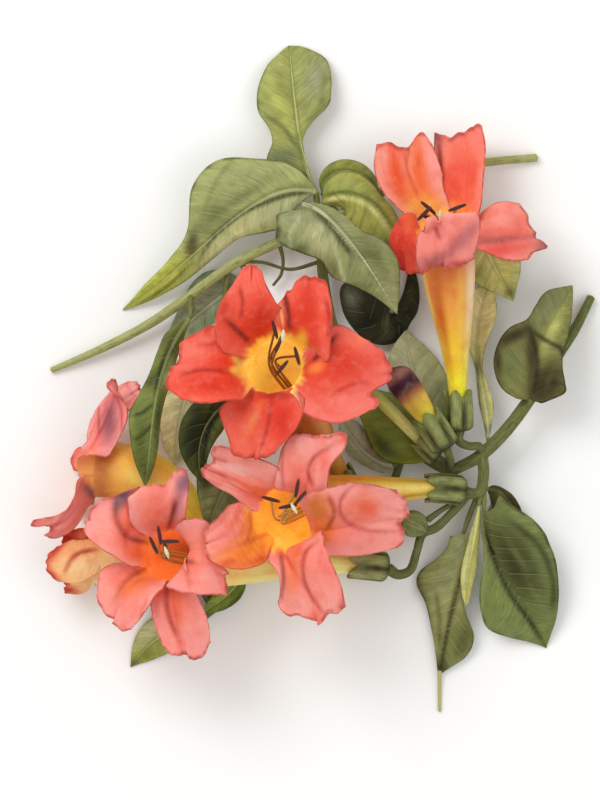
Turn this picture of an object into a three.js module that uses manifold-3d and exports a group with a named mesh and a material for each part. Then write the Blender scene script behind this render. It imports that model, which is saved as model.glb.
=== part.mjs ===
// A cut flowering spray of blood-red trumpet vine, lying on its back on a flat surface.
// A woody stem carries petioles, pedicels and cup-shaped calyces. Each calyx holds one
// trumpet flower: a curved tube that widens to a mouth with five broad lobes, with four
// stamens and a style inside. Leaves, buds and flowers overlap in layers above the stem.
// Units are millimetres, +Z is up, and the spray's long side runs along Y.

import * as THREE from "three";
import { mergeVertices } from "three/addons/utils/BufferGeometryUtils.js";
import Module from "manifold-3d";

// Places in the lists below are [column, row, height]: columns run to the right and rows
// downwards in steps of STEP over the spray as laid out, and heights are millimetres.
const STEP = 0.35; // makes the largest flower about 100 long
const MIDDLE = { column: 308.7, row: 379 }; // the place above the part's origin

// Driving dimensions
const LEAF_THICK = 0.8;
const PETAL_THICK = 0.7;
const TUBE_FOOT_RADIUS = 3.3; // corolla tube where it stands in the calyx
const SEAT_GAP = 0.35; // air between pieces that only touch
const CALYX_LENGTH = 12.5;
const CALYX_WALL = 0.9;
const CALYX_FLOOR = 2.4; // thickness of the calyx under the tube
const CALYX_TOOTH = 1.6;
const CALYX_PLAY = 0.8; // air between the calyx and the tube inside it
const SUNK = 0.6; // how deep a calyx sits on the end of its stalk
const PETIOLE_RADIUS = 1;
const FILAMENT_RADIUS = 0.5;
const ANTHER_LENGTH = 7;
const ANTHER_RADIUS = 0.95;
const SECTOR = (2 * Math.PI) / 5; // five lobes, five calyx teeth

// Mesh fineness
const SLIVER = 0.004; // edges shorter than this are closed up after a join
const LEAF_STEPS = { along: 7, across: 4 };
const COROLLA_STEPS = { tube: 4, sector: 4, lobe: 4 };
const STEM_SIDES = 6;
const STALK_SIDES = 5;
const FILAMENT_SIDES = 3;
const FILAMENT_STEPS = 5;

const wasm = await Module();
wasm.setup();

const { clamp, degToRad, lerp } = THREE.MathUtils;

const smooth = (x) => THREE.MathUtils.smoothstep(x, 0, 1);

function at([column, row, height]) {
  return new THREE.Vector3((column - MIDDLE.column) * STEP, (MIDDLE.row - row) * STEP, height);
}

// A smooth curve through equally spaced values, read at a share of the way.
function sample(values, share) {
  const last = values.length - 1;
  const place = clamp(share, 0, 1) * last;
  const i = Math.min(Math.floor(place), last - 1);
  const f = place - i;
  const [a, b, c, d] = [i - 1, i, i + 1, i + 2].map((k) => values[clamp(k, 0, last)]);
  return b + 0.5 * f * (c - a + f * (2 * a - 5 * b + 4 * c - d + f * (3 * (b - c) + d - a)));
}

function geometryOf(points, triangles) {
  const geometry = new THREE.BufferGeometry();
  const numbers = points.flatMap((p) => [p.x, p.y, p.z]);
  geometry.setAttribute("position", new THREE.Float32BufferAttribute(numbers, 3));
  geometry.setIndex(triangles.flat());
  return geometry;
}

// A ring of points, counterclockwise about first × second. Nothing goes below the ground.
function ring({ centre, first, second }, radius, sides, turn = 0) {
  return Array.from({ length: sides }, (_, k) => {
    const angle = (2 * Math.PI * k) / sides + turn;
    const point = centre
      .clone()
      .addScaledVector(first, radius * Math.cos(angle))
      .addScaledVector(second, radius * Math.sin(angle));
    return point.setZ(Math.max(point.z, 0));
  });
}

// A closed skin over rings of points, with a pole at each end.
function skin(rings, startPole, endPole) {
  const sides = rings[0].length;
  const points = [startPole, ...rings.flat(), endPole];
  const last = points.length - 1;
  const index = (row, side) => 1 + row * sides + (side % sides);
  const triangles = [];
  for (let k = 0; k < sides; k++) {
    triangles.push([0, index(0, k + 1), index(0, k)]);
    for (let row = 0; row < rings.length - 1; row++) {
      triangles.push([index(row, k), index(row, k + 1), index(row + 1, k + 1)]);
      triangles.push([index(row, k), index(row + 1, k + 1), index(row + 1, k)]);
    }
    triangles.push([last, index(rings.length - 1, k), index(rings.length - 1, k + 1)]);
  }
  return geometryOf(points, triangles);
}

// Frames along a run of points, each turned only as far as the run bends there.
function framesAlong(centres) {
  const aheads = centres.map((_, i) => {
    const next = centres[Math.min(i + 1, centres.length - 1)];
    return next.clone().sub(centres[Math.max(i - 1, 0)]).normalize();
  });
  const helper = new THREE.Vector3(0, 0, 1);
  if (Math.abs(aheads[0].z) > 0.9) helper.set(1, 0, 0);
  let first = helper.projectOnPlane(aheads[0]).normalize();
  return centres.map((centre, i) => {
    if (i > 0) {
      const turn = new THREE.Quaternion().setFromUnitVectors(aheads[i - 1], aheads[i]);
      first = first.clone().applyQuaternion(turn);
    }
    return { centre, ahead: aheads[i], first, second: aheads[i].clone().cross(first) };
  });
}

function tube(centres, radii, sides) {
  const rings = framesAlong(centres).map((frame, i) => ring(frame, radii[i], sides));
  return skin(rings, centres[0], centres[centres.length - 1]);
}

// A round branch through places that each have a radius as their fourth number.
function branch(places, sides, stepsEach = 2) {
  const curve = new THREE.CatmullRomCurve3(places.map(at), false, "centripetal");
  const steps = (places.length - 1) * stepsEach;
  const shares = Array.from({ length: steps + 1 }, (_, i) => i / steps);
  const radii = shares.map((share) => sample(places.map((p) => p[3]), share));
  return tube(shares.map((share) => curve.getPoint(share)), radii, sides);
}

// The points of a middle surface moved half a thickness to each side along the vertex
// normals. What would sink into the ground lies flat on it.
function bothSides(points, triangles, thickness) {
  const normals = points.map(() => new THREE.Vector3());
  for (const [a, b, c] of triangles) {
    const toB = points[b].clone().sub(points[a]);
    const toC = points[c].clone().sub(points[a]);
    const normal = toB.cross(toC);
    for (const i of [a, b, c]) normals[i].add(normal);
  }
  const moved = (side) =>
    points.map((p, i) => {
      const shift = normals[i].clone().setLength((side * thickness) / 2);
      const lowest = shift.z > 0 ? thickness : 0;
      const point = p.clone().add(shift);
      return point.setZ(Math.max(point.z, lowest));
    });
  return [...moved(1), ...moved(-1)];
}

// Faces on both sides of a middle surface, with a rim round every free edge.
function shellFaces(triangles, count) {
  const faces = [];
  const edges = new Map();
  for (const [a, b, c] of triangles) {
    faces.push([a, b, c], [count + c, count + b, count + a]);
    for (const [i, j] of [[a, b], [b, c], [c, a]]) edges.set(`${i} ${j}`, [i, j]);
  }
  for (const [i, j] of edges.values()) {
    if (!edges.has(`${j} ${i}`)) faces.push([j, i, count + i], [j, count + i, count + j]);
  }
  return faces;
}

function thicken(points, triangles, thickness) {
  return geometryOf(bothSides(points, triangles, thickness), shellFaces(triangles, points.length));
}

// Triangles of a grid of points with the given rows and columns.
function gridTriangles(rows, columns, index) {
  const triangles = [];
  for (let i = 0; i < rows; i++) {
    for (let j = 0; j < columns; j++) {
      triangles.push([index(i, j), index(i + 1, j), index(i + 1, j + 1)]);
      triangles.push([index(i, j), index(i + 1, j + 1), index(i, j + 1)]);
    }
  }
  return triangles;
}

// The union of solids that overlap, without the loose scraps that thin skins leave.
function joined(geometries) {
  const solids = geometries.map((geometry) => {
    const bare = mergeVertices(geometry, 1e-4);
    const vertProperties = bare.attributes.position.array;
    const triVerts = new Uint32Array(bare.index.array);
    return new wasm.Manifold(new wasm.Mesh({ numProp: 3, vertProperties, triVerts }));
  });
  const bodies = solids.reduce((whole, next) => whole.add(next)).simplify(SLIVER).decompose();
  const mesh = bodies.reduce((a, b) => (a.volume() > b.volume() ? a : b)).getMesh();
  const geometry = new THREE.BufferGeometry();
  geometry.setAttribute("position", new THREE.BufferAttribute(mesh.vertProperties, 3));
  geometry.setIndex(new THREE.BufferAttribute(mesh.triVerts, 1));
  return geometry;
}

// Woody branches, by places with a radius
const BRANCHES = {
  vine: [
    [51, 370, 1, 1.1], [100, 349, 3.6, 1.5], [150, 323, 6, 1.8], [192, 294, 7.5, 1.9],
    [232, 265, 8, 1.9], [278, 242, 8, 1.9], [325, 222, 8, 1.9], [385, 190, 7.5, 1.7],
    [430, 173, 6, 1.6], [485, 162, 3.6, 1.5], [537, 157, 1.4, 1.5],
  ],
  link: [
    [325, 222, 8, 1.9], [322, 262, 6.5, 2], [334, 330, 4.5, 2.1], [365, 395, 4, 2.1],
    [405, 443, 4.8, 2.2], [430, 460, 6.5, 2.2], [450, 472, 10, 2.1],
  ],
  cane: [
    [592, 297, 1.5, 1.6], [575, 330, 4.5, 1.9], [552, 365, 9, 2.1], [528, 402, 12, 2.3],
    [505, 432, 13, 2.4], [480, 456, 12, 2.3], [450, 472, 10, 2],
  ],
  lowerArm: [[482, 454, 12, 2.2], [484, 474, 12, 2.1], [479, 493, 13, 1.9], [464, 493, 14, 1.7]],
};

// Slender stalks: flower stalks from a branch to the foot of a calyx, twigs and tendrils
const STALKS = {
  upright: [
    [482, 455, 12, 1.5], [480, 447, 15, 1.5], [468, 446, 17, 1.5], [459, 441, 17, 1.6], [459, 430, 17, 2],
  ],
  hidden: [
    [404, 442, 4.8, 1.6], [398, 470, 4.5, 1.5], [385, 500, 4.5, 1.5], [350, 528, 3, 1.3],
    [310, 545, 2.6, 1.2], [272, 556, 3, 1.2], [240, 562, 3, 1.2],
  ],
  red: [[385, 500, 4.5, 1.4], [371, 516, 4.4, 1.4], [359, 518, 5, 1.6], [352, 505, 6, 2]],
  right: [[479, 493, 13, 1.6], [470, 493, 13.6, 1.8], [464, 491, 14, 2]],
  low: [
    [470, 494, 13, 1.4], [452, 513, 12.4, 1.5], [436, 528, 12, 1.6], [423, 534, 11, 1.6],
    [417, 552, 9.5, 1.5], [410, 571, 9, 1.6], [398, 575, 9.5, 1.8], [388, 569, 10, 2],
  ],
  far: [
    [272, 556, 3, 1.1], [240, 562, 3, 1.1], [230, 578, 2.8, 1.1], [223, 598, 3, 1.1],
    [211, 603, 4, 1.3], [205, 591, 5.1, 1.9],
  ],
  half: [[224, 596, 3, 1.1], [212, 612, 3.4, 1.1], [198, 616, 4.6, 1.3], [187, 609, 6, 1.7]],
  bud: [[449, 472, 10, 1.3], [451, 462, 17, 1.3], [447, 449, 23, 1.5]],
  youngBud: [[447, 470, 10, 1], [445, 462, 13.5, 1], [437, 457, 15.5, 1.2]],
  twig: [[456, 502, 12.4, 1], [442, 510, 12.4, 0.9], [428, 520, 12.4, 1.2]],
  loop: [[240, 262, 8, 0.7], [262, 262, 7, 0.6], [290, 269, 5.5, 0.6], [318, 262, 6.5, 0.7]],
  hook: [[279, 243, 8, 0.8], [283, 260, 6, 0.6], [281, 274, 4.5, 0.6], [273, 285, 3, 0.5]],
};

// Half widths of a blade from base to tip, as shares of its greatest half width
const OVATE = [0.08, 0.7, 1, 1, 0.82, 0.55, 0.28, 0.04];
const OBLONG = [0.08, 0.55, 0.85, 1, 1, 0.86, 0.55, 0.06];
const sized = (profile, half) => profile.map((share) => share * half);
const even = (profile, half) => ({ left: sized(profile, half), right: sized(profile, half) });

// Leaves. A petiole runs from a branch to the base, and the blade follows a curve from
// there past lead and turn to the tip. left and right are half widths at equal steps,
// as seen along the blade. fold lifts both sides from the midrib, roll turns the blade
// about it at base and tip, ears draw the sides back at the base, curl bends the margins
// down, and wave ruffles them by an amount, a count and a phase. A tendril grows on at the tip.
const LEAVES = [
  {
    name: "leaf_top", finish: "leafLight",
    from: [320, 222, 9], base: [314, 188, 10], lead: [297, 150, 13], turn: [295, 100, 8], tip: [289, 47, -0.4],
    left: [1, 11.5, 11.5, 9, 12.6, 12.8, 10, 1], right: [0.6, 0.8, 1.2, 4.2, 12, 14, 13, 2],
    fold: 8, curl: 0.1, wave: [0.5, 2, 0.2],
  },
  {
    name: "leaf_upper_left", finish: "leafGreen",
    from: [312, 226, 9], base: [317, 192, 14], lead: [252, 180, 20], turn: [210, 270, 16], tip: [122, 309, -0.4],
    left: [0.8, 5, 9, 7, 6, 5, 4, 0.8], right: [0.8, 8, 17.5, 20, 15.5, 6.5, 5, 0.8],
    fold: 2, roll: [0, -15], curl: 0.12, wave: [0.9, 2, 0.1],
  },
  {
    name: "leaf_upper_front", finish: "leafGreen",
    from: [330, 219, 9], base: [304, 205, 27], lead: [332, 209, 32], turn: [368, 262, 32], tip: [396, 314, 24],
    left: [0.7, 1.2, 1.5, 3, 8, 10.5, 8, 0.5], right: [2.5, 12.5, 16, 14, 12, 9, 4.5, 0.5],
    fold: -5, ears: [0, 14], curl: 0.12, wave: [1, 2.5, 0.3],
  },
  {
    name: "leaf_upper_back", finish: "leafLight",
    from: [328, 220, 9], base: [321, 202, 10.8], lead: [334, 176, 17], turn: [384, 190, 18], tip: [399, 270, 12],
    left: [0.8, 4.5, 5.5, 5.5, 5.5, 5.5, 3.5, 0.5], right: [0.8, 8, 11, 12, 12, 10, 6, 0.5],
    fold: -6, curl: 0.1, wave: [0.6, 2, 0],
  },
  {
    name: "leaf_upper_far", finish: "leafDeep",
    from: [340, 214, 8.5], base: [322, 192, 8.6], lead: [324, 168, 9], turn: [360, 168, 11], tip: [377, 187, 13],
    ...even(OBLONG, 4), fold: 6, curl: 0.1, wave: [0.3, 2, 0],
  },
  {
    name: "leaf_dark", finish: "leafDeep",
    from: [372, 196, 8], base: [411, 262, 3.5], lead: [420, 335, 3.5], turn: [378, 356, 4], tip: [350, 284, 8],
    left: [0.8, 3.5, 4, 6, 7, 7, 6, 1.5], right: [0.8, 2.5, 3, 5, 6.5, 6.5, 5.5, 1.5],
    fold: 8, curl: 0.1, wave: [0.5, 2, 0.4],
  },
  {
    name: "leaf_behind_trumpet", finish: "leafPale",
    from: [449, 470, 10], base: [447, 446, 8], lead: [428, 420, 6], turn: [408, 370, 6], tip: [406, 330, 8],
    ...even(OBLONG, 10), fold: 5, curl: 0.05, wave: [0.4, 2, 0],
  },
  {
    name: "leaf_beside_trumpet", finish: "leafPale",
    from: [493, 446, 13], base: [488, 438, 13], lead: [490, 390, 10], turn: [466, 350, 8], tip: [492, 284, 3.4],
    left: [0.7, 2, 2.4, 2, 2.4, 3.5, 4, 0.5], right: [0.7, 2, 2.6, 2.2, 2.4, 3.5, 4, 0.5],
    fold: 10, roll: [10, -10], curl: -0.1, wave: [0.9, 2.5, 0.5],
  },
  {
    name: "leaf_under_petal", finish: "leafLight",
    from: [466, 165, 5.5], base: [478, 222, 8], lead: [484, 250, 9.5], turn: [498, 275, 8.5], tip: [514, 299, 5],
    left: [0.8, 5, 8, 9, 8.5, 6.5, 3.5, 0.5], right: [0.8, 5, 8, 9.5, 9.5, 7.5, 4, 0.5],
    fold: 6, curl: 0.1, wave: [0.6, 2, 0],
  },
  {
    name: "leaf_right", finish: "leafBronze",
    from: [525, 405, 12], base: [530, 398, 18], lead: [524, 360, 24], turn: [548, 330, 22], tip: [573, 286, 8],
    left: [0.8, 10.5, 13.5, 14, 9.5, 7, 4.5, 0.5], right: [0.8, 12.6, 12, 9, 7.5, 6, 3, 0.5],
    fold: 10, ears: [2, 3], curl: 0.12, wave: [0.8, 2, 0.2],
  },
  {
    name: "leaf_lower_left", finish: "leafGreen",
    from: [481, 490, 12], base: [464, 534, 8], lead: [471, 575, 9], turn: [455, 610, 8.5], tip: [439, 676, 1.6],
    left: [3, 1.5, 1.2, 1.2, 3.5, 7.5, 7, 0.8], right: [5, 8, 12, 15.5, 14.5, 9, 5, 0.8],
    fold: -6, roll: [0, 8], curl: 0.14, wave: [0.9, 1.6, 0.15],
    tendril: [[440, 672, 1.9, 0.8], [440, 692, 0.8, 0.7], [440, 712, 0.6, 0.6]],
  },
  {
    name: "leaf_lower_strip", finish: "leafLight",
    from: [483, 484, 12], base: [479, 506, 13.5], lead: [476, 545, 13.5], turn: [464, 575, 11], tip: [467, 608, 9],
    ...even(OBLONG, 2.2), fold: 12, curl: 0.1, wave: [0.2, 2, 0],
  },
  {
    name: "leaf_lower_right", finish: "leafGreen",
    from: [484, 480, 12], base: [484, 510, 13], lead: [481, 560, 17], turn: [520, 585, 12], tip: [547, 648, -0.4],
    left: [4, 14, 19, 19.5, 17.5, 13.5, 7, 0.5], right: [0.8, 1.6, 3.5, 8.5, 15, 15, 10, 0.5],
    fold: 8, ears: [7, 0], curl: 0.1, wave: [0.9, 2, 0.6],
  },
  {
    name: "leaf_lower_back", finish: "leafBronze",
    from: [484, 480, 11], base: [488, 490, 9.5], lead: [500, 487, 8.5], turn: [511, 498, 7], tip: [523, 525, 4],
    left: [0.6, 1.4, 1.6, 1.8, 2.2, 2.2, 1.8, 0.5], right: [0.8, 6, 7.5, 7.5, 6, 4, 2, 0.5],
    fold: 4, curl: 0.1, wave: [0.3, 2, 0],
  },
  {
    name: "leaf_left_hanging", finish: "leafDeep",
    from: [190, 296, 8], base: [182, 330, 24], lead: [150, 370, 32], turn: [152, 420, 33], tip: [145, 487, 27],
    left: [0.7, 2.4, 3, 4, 3.5, 3, 2.6, 0.4], right: [0.7, 4, 3.4, 4.5, 8, 7.5, 5.5, 0.4],
    fold: -8, curl: 0.12, wave: [0.7, 3, 0.1],
  },
  {
    name: "leaf_left_pale", finish: "leafPale",
    from: [228, 269, 7], base: [220, 320, 4], lead: [190, 370, 3.5], turn: [175, 420, 2.6], tip: [174, 466, 1.4],
    ...even(OBLONG, 8), fold: 3, curl: 0.05, wave: [0.3, 2, 0],
  },
  {
    name: "leaf_centre_left", finish: "leafDeep",
    from: [330, 310, 6], base: [252, 392, 24], lead: [215, 400, 28], turn: [188, 435, 30], tip: [203, 483, 27],
    left: [0.8, 4, 5, 5.5, 6, 4.5, 3, 0.4], right: [0.8, 3, 5, 7.5, 8.5, 7, 5, 0.4],
    fold: 8, curl: 0.05, wave: [0.7, 2, 0.3],
  },
  {
    name: "leaf_centre_low", finish: "leafDeep",
    from: [345, 360, 5], base: [240, 466, 19], lead: [227, 480, 22], turn: [214, 505, 22.5], tip: [207, 533, 21],
    left: [0.8, 5, 8, 9, 8, 5.5, 3, 0.4], right: [0.8, 6, 10, 10.5, 8.5, 5.5, 2.5, 0.4],
    fold: 6, curl: 0.05, wave: [0.5, 2, 0],
  },
  {
    name: "leaf_centre_right", finish: "leafDeep",
    from: [448, 471, 9.6], base: [434, 461, 10.2], lead: [420, 440, 11], turn: [392, 412, 11], tip: [352, 388, 10],
    left: [0.8, 7, 11.5, 13.5, 13, 10, 6, 0.5], right: [0.8, 4, 6, 7.5, 7.5, 6.5, 4, 0.5],
    fold: 4, curl: 0.05, wave: [0.4, 2, 0.3],
  },
  {
    name: "leaf_centre_pale", finish: "leafPale",
    from: [400, 458, 5], base: [393, 466, 8.2], lead: [378, 466, 8], turn: [352, 448, 6.6], tip: [341, 412, 6],
    left: [0.6, 3, 3.4, 4, 4.5, 4.5, 3, 0.5], right: [0.6, 3, 4, 4.5, 5, 5, 4, 0.5],
    fold: 4, curl: 0.05, wave: [0.3, 2, 0],
  },
  {
    name: "leaf_under_vine", finish: "leafPale",
    from: [242, 261, 7], base: [244, 280, 3.5], lead: [222, 294, 2.5], turn: [190, 318, 1.6], tip: [163, 348, 1],
    ...even(OVATE, 10), fold: 2, curl: 0.05, wave: [0.3, 2, 0.4],
  },
  {
    name: "leaf_bottom_left", finish: "leafLight",
    from: [210, 613, 3.5], base: [198, 624, 1.5], lead: [176, 626, 1.4], turn: [152, 636, 1], tip: [130, 668, -0.3],
    ...even(OBLONG, 6.5), fold: 4, curl: 0.05, wave: [0.3, 2, 0],
  },
  {
    name: "leaf_bottom_middle", finish: "leafLight",
    from: [256, 560, 3], base: [242, 572, 6], lead: [239, 588, 8], turn: [224, 600, 8], tip: [201, 614, 7],
    ...even(OBLONG, 4), fold: 6, curl: 0.05, wave: [0.3, 2, 0.3],
  },
];

function petiole({ from, base, lead }) {
  const start = at(from);
  const end = at(base);
  const ahead = at(lead).sub(end).normalize();
  end.addScaledVector(ahead, -2 * SEAT_GAP);
  const middle = start.clone().lerp(end, 0.6).addScaledVector(ahead, -0.08 * start.distanceTo(end));
  const centres = new THREE.QuadraticBezierCurve3(start, middle, end).getPoints(2);
  return tube(centres, [1, 1, 0.6].map((share) => PETIOLE_RADIUS * share), STALK_SIDES);
}

function leafGeometry({ base, lead, turn, tip, left, right, fold, roll = [0, 0], ears = [0, 0], curl, wave }) {
  const curve = new THREE.CubicBezierCurve3(...[base, lead, turn, tip].map(at));
  const { along, across } = LEAF_STEPS;
  const [amount, count, phase] = wave;
  const half = Math.max(...left, ...right);
  const points = [];
  for (let i = 0; i <= along; i++) {
    const u = i / along;
    const centre = curve.getPoint(u);
    const ahead = curve.getTangent(u);
    const side = new THREE.Vector3(0, 0, 1).cross(ahead).normalize();
    side.applyAxisAngle(ahead, degToRad(lerp(roll[0], roll[1], smooth(u))));
    const normal = ahead.clone().cross(side);
    for (let j = 0; j <= across; j++) {
      const v = (2 * j) / across - 1;
      const width = Math.max(sample(v > 0 ? left : right, u), 0.5);
      const reach = Math.abs(v) * width;
      const ripple = amount * Math.sin(2 * Math.PI * (count * u + phase) + (v > 0 ? 0 : 1.7));
      const droop = curl * width - (ripple * width) / half;
      const ear = (v > 0 ? ears[0] : ears[1]) * smooth(1 - u / 0.45) * Math.min(width / half / 0.3, 1);
      points.push(
        centre
          .clone()
          .addScaledVector(side, Math.sign(v) * reach * Math.cos(degToRad(fold)))
          .addScaledVector(normal, reach * Math.sin(degToRad(fold)) - droop * v * v)
          .addScaledVector(ahead, -ear * Math.pow(v, 4)),
      );
    }
  }
  const triangles = gridTriangles(along, across, (i, j) => i * (across + 1) + j);
  return thicken(points, triangles, LEAF_THICK);
}

// Flowers. seat is the foot of the calyx, and lead and turn steer the tube to the middle
// of the mouth. Lobes go counterclockwise as seen from in front of the mouth. Each bends
// over a knee to its tip. left and right are its half widths at thirds of its length, and
// rim is how far its end edge stands out, from the right corner to the left one. roll
// turns it about its midline at root and tip, and cup bends its margins inwards.
const BLOOMS = [
  {
    name: "upright", petal: "petalPink", mouthRadius: 9.6, spin: -34,
    seat: [459, 430, 17], lead: [459, 376, 18], turn: [451, 296, 16], mouth: [446, 237, 28],
    lobes: [
      { knee: [465, 190, 17], tip: [461, 131, 13], left: [8, 9.5, 10], right: [8, 9.5, 9], rim: [1.2, -0.5, 0, -1.2, 2], cup: 0.12 },
      { knee: [404, 195, 17], tip: [408, 146, 14], left: [8.5, 11, 11.2], right: [8.5, 11, 11], rim: [-1.5, 4.5, 0, -0.5, 1], cup: 0.1 },
      { knee: [386, 222, 34], tip: [402, 270, 24], left: [6.5, 6.5, 4], right: [7, 6.5, 4], rim: [-3, -0.5, 0, -0.5, -3], cup: 0.1 },
      { knee: [446, 200, 54], tip: [444, 268, 45], left: [5.6, 11, 10.5], right: [5.6, 11, 10.5], rim: [1.5, 2, 0, -1, -3], cup: -0.08 },
      { knee: [500, 226, 36], tip: [533, 234, 27], left: [10, 12, 10], right: [9, 10.5, 8.5], rim: [-2, -1, 5, 0, -1], cup: -0.05 },
    ],
    anthers: [[424, 214, 38, 45], [428, 208, 38, 140], [432, 219, 37, 165], [457, 208, 38, 20]],
    stigma: [440, 216, 39, 90],
  },
  {
    name: "red", petal: "petalRed", mouthRadius: 10.8, spin: 4,
    seat: [352, 505, 6], lead: [336, 455, 10], turn: [286, 386, 30], mouth: [275, 367, 44],
    lobes: [
      { knee: [210, 362, 57], tip: [172, 366, 51], left: [14, 14.5, 9], right: [15, 14.5, 10], rim: [-2, 0.5, 0, 2, -5], roll: [6, 6], cup: 0.04 },
      { knee: [266, 416, 54], tip: [248, 462, 45], left: [12.5, 12.5, 8], right: [12, 13, 10], rim: [-3, 0, 0.5, -1, -4], roll: [0, -6], cup: 0.1 },
      { knee: [342, 380, 55], tip: [388, 372, 50], left: [14, 16.5, 12], right: [15, 17, 11], rim: [-5, -4, 0, 1, -3], roll: [6, 6], cup: 0.03 },
      { knee: [306, 322, 56], tip: [312, 278, 52], left: [11, 11, 8.5], right: [11, 12, 8], rim: [-4, -0.5, 0.5, 0, -2], roll: [6, 6], cup: 0.08 },
      { knee: [248, 318, 57], tip: [248, 272, 53], left: [11, 13, 10], right: [11, 11, 8.5], rim: [-4.5, 1.5, 1, -2.5, -4], roll: [6, 6], cup: 0.08 },
    ],
    anthers: [[275, 330, 57, 105], [279, 344, 57, 70], [282, 368, 58, 50], [297, 356, 56, 105]],
    stigma: [283, 336, 61, 85],
  },
  {
    name: "low", petal: "petalPink", mouthRadius: 11, spin: 4,
    seat: [464, 491, 14], lead: [410, 482, 20], turn: [312, 502, 22], mouth: [286, 517, 37],
    lobes: [
      { knee: [238, 537, 48], tip: [205, 545, 45], left: [9.5, 9.5, 7], right: [9.5, 9.5, 7.5], rim: [-3, -0.5, 0.5, 0, -2.5], roll: [6, 6], cup: 0.12 },
      { knee: [310, 580, 45], tip: [316, 622, 41], left: [10.5, 12.5, 12], right: [10.5, 12, 12.5], rim: [-2.5, -2, 1.5, -3.5, -3.5], roll: [6, 6], cup: 0.1 },
      { knee: [350, 520, 47], tip: [407, 522, 43], left: [13, 14, 9.5], right: [13, 14, 10], rim: [-2.5, 0.5, -2, 1, -4], roll: [6, 6], cup: 0.06 },
      { knee: [311, 468, 50], tip: [307, 434, 52], left: [9.5, 10, 9.5], right: [10.5, 10, 9], rim: [1.5, 0.5, 0.5, 0, -1], roll: [6, 6], cup: 0.1 },
      { knee: [245, 488, 43], tip: [205, 464, 37], left: [8.5, 8, 7], right: [9, 9, 8], rim: [-1, 0.5, 0, 0, 0.5], roll: [6, 6], cup: 0.1 },
    ],
    anthers: [[271, 499, 53, 165], [297, 488, 54, 80], [300, 498, 54, 50], [288, 506, 52, 190]],
    stigma: [294, 508, 54, 120],
  },
  {
    name: "lower_left", petal: "petalPink", mouthRadius: 9.5, spin: 6,
    seat: [388, 568, 10], lead: [325, 560, 12], turn: [196, 568, 16], mouth: [169, 556, 32],
    lobes: [
      { knee: [118, 534, 43], tip: [87, 521, 37], left: [10.5, 10, 7], right: [12, 12.5, 8], rim: [-4, 0, 0.5, -0.5, -3], roll: [6, 6], cup: 0.15 },
      { knee: [136, 594, 41], tip: [117, 624, 35], left: [9.5, 10, 8], right: [10, 10, 7.5], rim: [-3, 0, 0.5, 0.5, -2], roll: [6, 6], cup: 0.1 },
      { knee: [180, 612, 42], tip: [189, 656, 36], left: [10, 10, 8.5], right: [10, 10, 8.5], rim: [-2.5, -1, 0, 1, -2.5], roll: [6, 6], cup: 0.12 },
      { knee: [207, 561, 46], tip: [226, 574, 39], left: [9, 8.5, 5], right: [9, 9, 6.5], rim: [-3, 0, 0.5, -0.5, -2], roll: [6, 6], cup: 0.12 },
      { knee: [165, 506, 46], tip: [160, 482, 43], left: [10, 10.5, 8.5], right: [10, 10.5, 10], rim: [3, 1, -1, 0, 0], roll: [6, 6], cup: 0.12 },
    ],
    anthers: [[154, 545, 45, 115], [160, 535, 46, 100], [170, 541, 46, 0], [166, 549, 45, 100]],
    stigma: [167, 552, 46, 110],
  },
  {
    name: "far_left", petal: "petalPink", mouthRadius: 10, spin: -54,
    seat: [205, 590, 5.2], lead: [208, 480, 7], turn: [150, 464, 19], mouth: [98, 467, 16],
    lobes: [
      { knee: [88, 425, 27], tip: [107, 381, 23], left: [6, 6.5, 5.5], right: [6, 6, 5], rim: [-2, 0, 0.5, 0, -2.5], roll: [0, 60], cup: 0.15 },
      { knee: [98, 408, 14], tip: [136, 386, 16], left: [5.5, 6, 5], right: [5.5, 6, 5], rim: [-2, 0, 0, 0, -2], roll: [0, 75], cup: 0.1 },
      { knee: [82, 462, 3.5], tip: [66, 436, 1.5], left: [5.5, 6, 4.5], right: [5.5, 6, 4.5], rim: [-2, 0, 0, 0, -2], cup: 0.1 },
      { knee: [84, 506, 7], tip: [70, 524, 3], left: [5, 5, 4], right: [5, 5, 4], rim: [-2, 0, 0, 0, -2], roll: [0, -50], cup: 0.1 },
      { knee: [78, 478, 30], tip: [38, 532, 15], left: [6, 4.5, 5.5], right: [6, 4.5, 5.5], rim: [0, 2, -1, 1.5, 2], cup: 0.05 },
    ],
    anthers: [[88, 464, 15, 180], [86, 474, 16, 190], [90, 480, 14, 185], [90, 456, 13, 175]],
    stigma: [84, 469, 16, 180],
  },
  {
    name: "half_open", petal: "petalPink", mouthRadius: 7.6, spin: 0,
    seat: [187, 609, 6], lead: [160, 596, 7.5], turn: [130, 570, 9.5], mouth: [99, 562, 10.5],
    lobes: [
      { knee: [84, 538, 11], tip: [62, 534, 12], left: [4.5, 5, 4], right: [4.5, 5, 4], rim: [-3, -0.5, 0, -0.5, -3], cup: 0.3 },
      { knee: [84, 552, 4], tip: [60, 552, 3.5], left: [4.5, 5, 4], right: [4.5, 5, 4], rim: [-3, -0.5, 0, -0.5, -3], cup: 0.2 },
      { knee: [84, 578, 4], tip: [62, 580, 3.5], left: [4.5, 5, 4], right: [4.5, 5, 4], rim: [-3, -0.5, 0, -0.5, -3], cup: 0.2 },
      { knee: [82, 590, 13], tip: [62, 586, 13], left: [4, 4.6, 4], right: [4, 4.6, 4], rim: [-2, -0.5, 0, -0.5, -2], cup: 0.1 },
      { knee: [80, 562, 20], tip: [48, 562, 19], left: [5, 6, 5], right: [5, 6, 5], rim: [-3, -0.5, 0, -0.5, -3], cup: 0.2 },
    ],
    anthers: [[88, 558, 11, 180], [88, 567, 11, 180], [90, 562, 8, 180], [90, 555, 8, 180]],
    stigma: [84, 562, 10, 180],
  },
];

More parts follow.
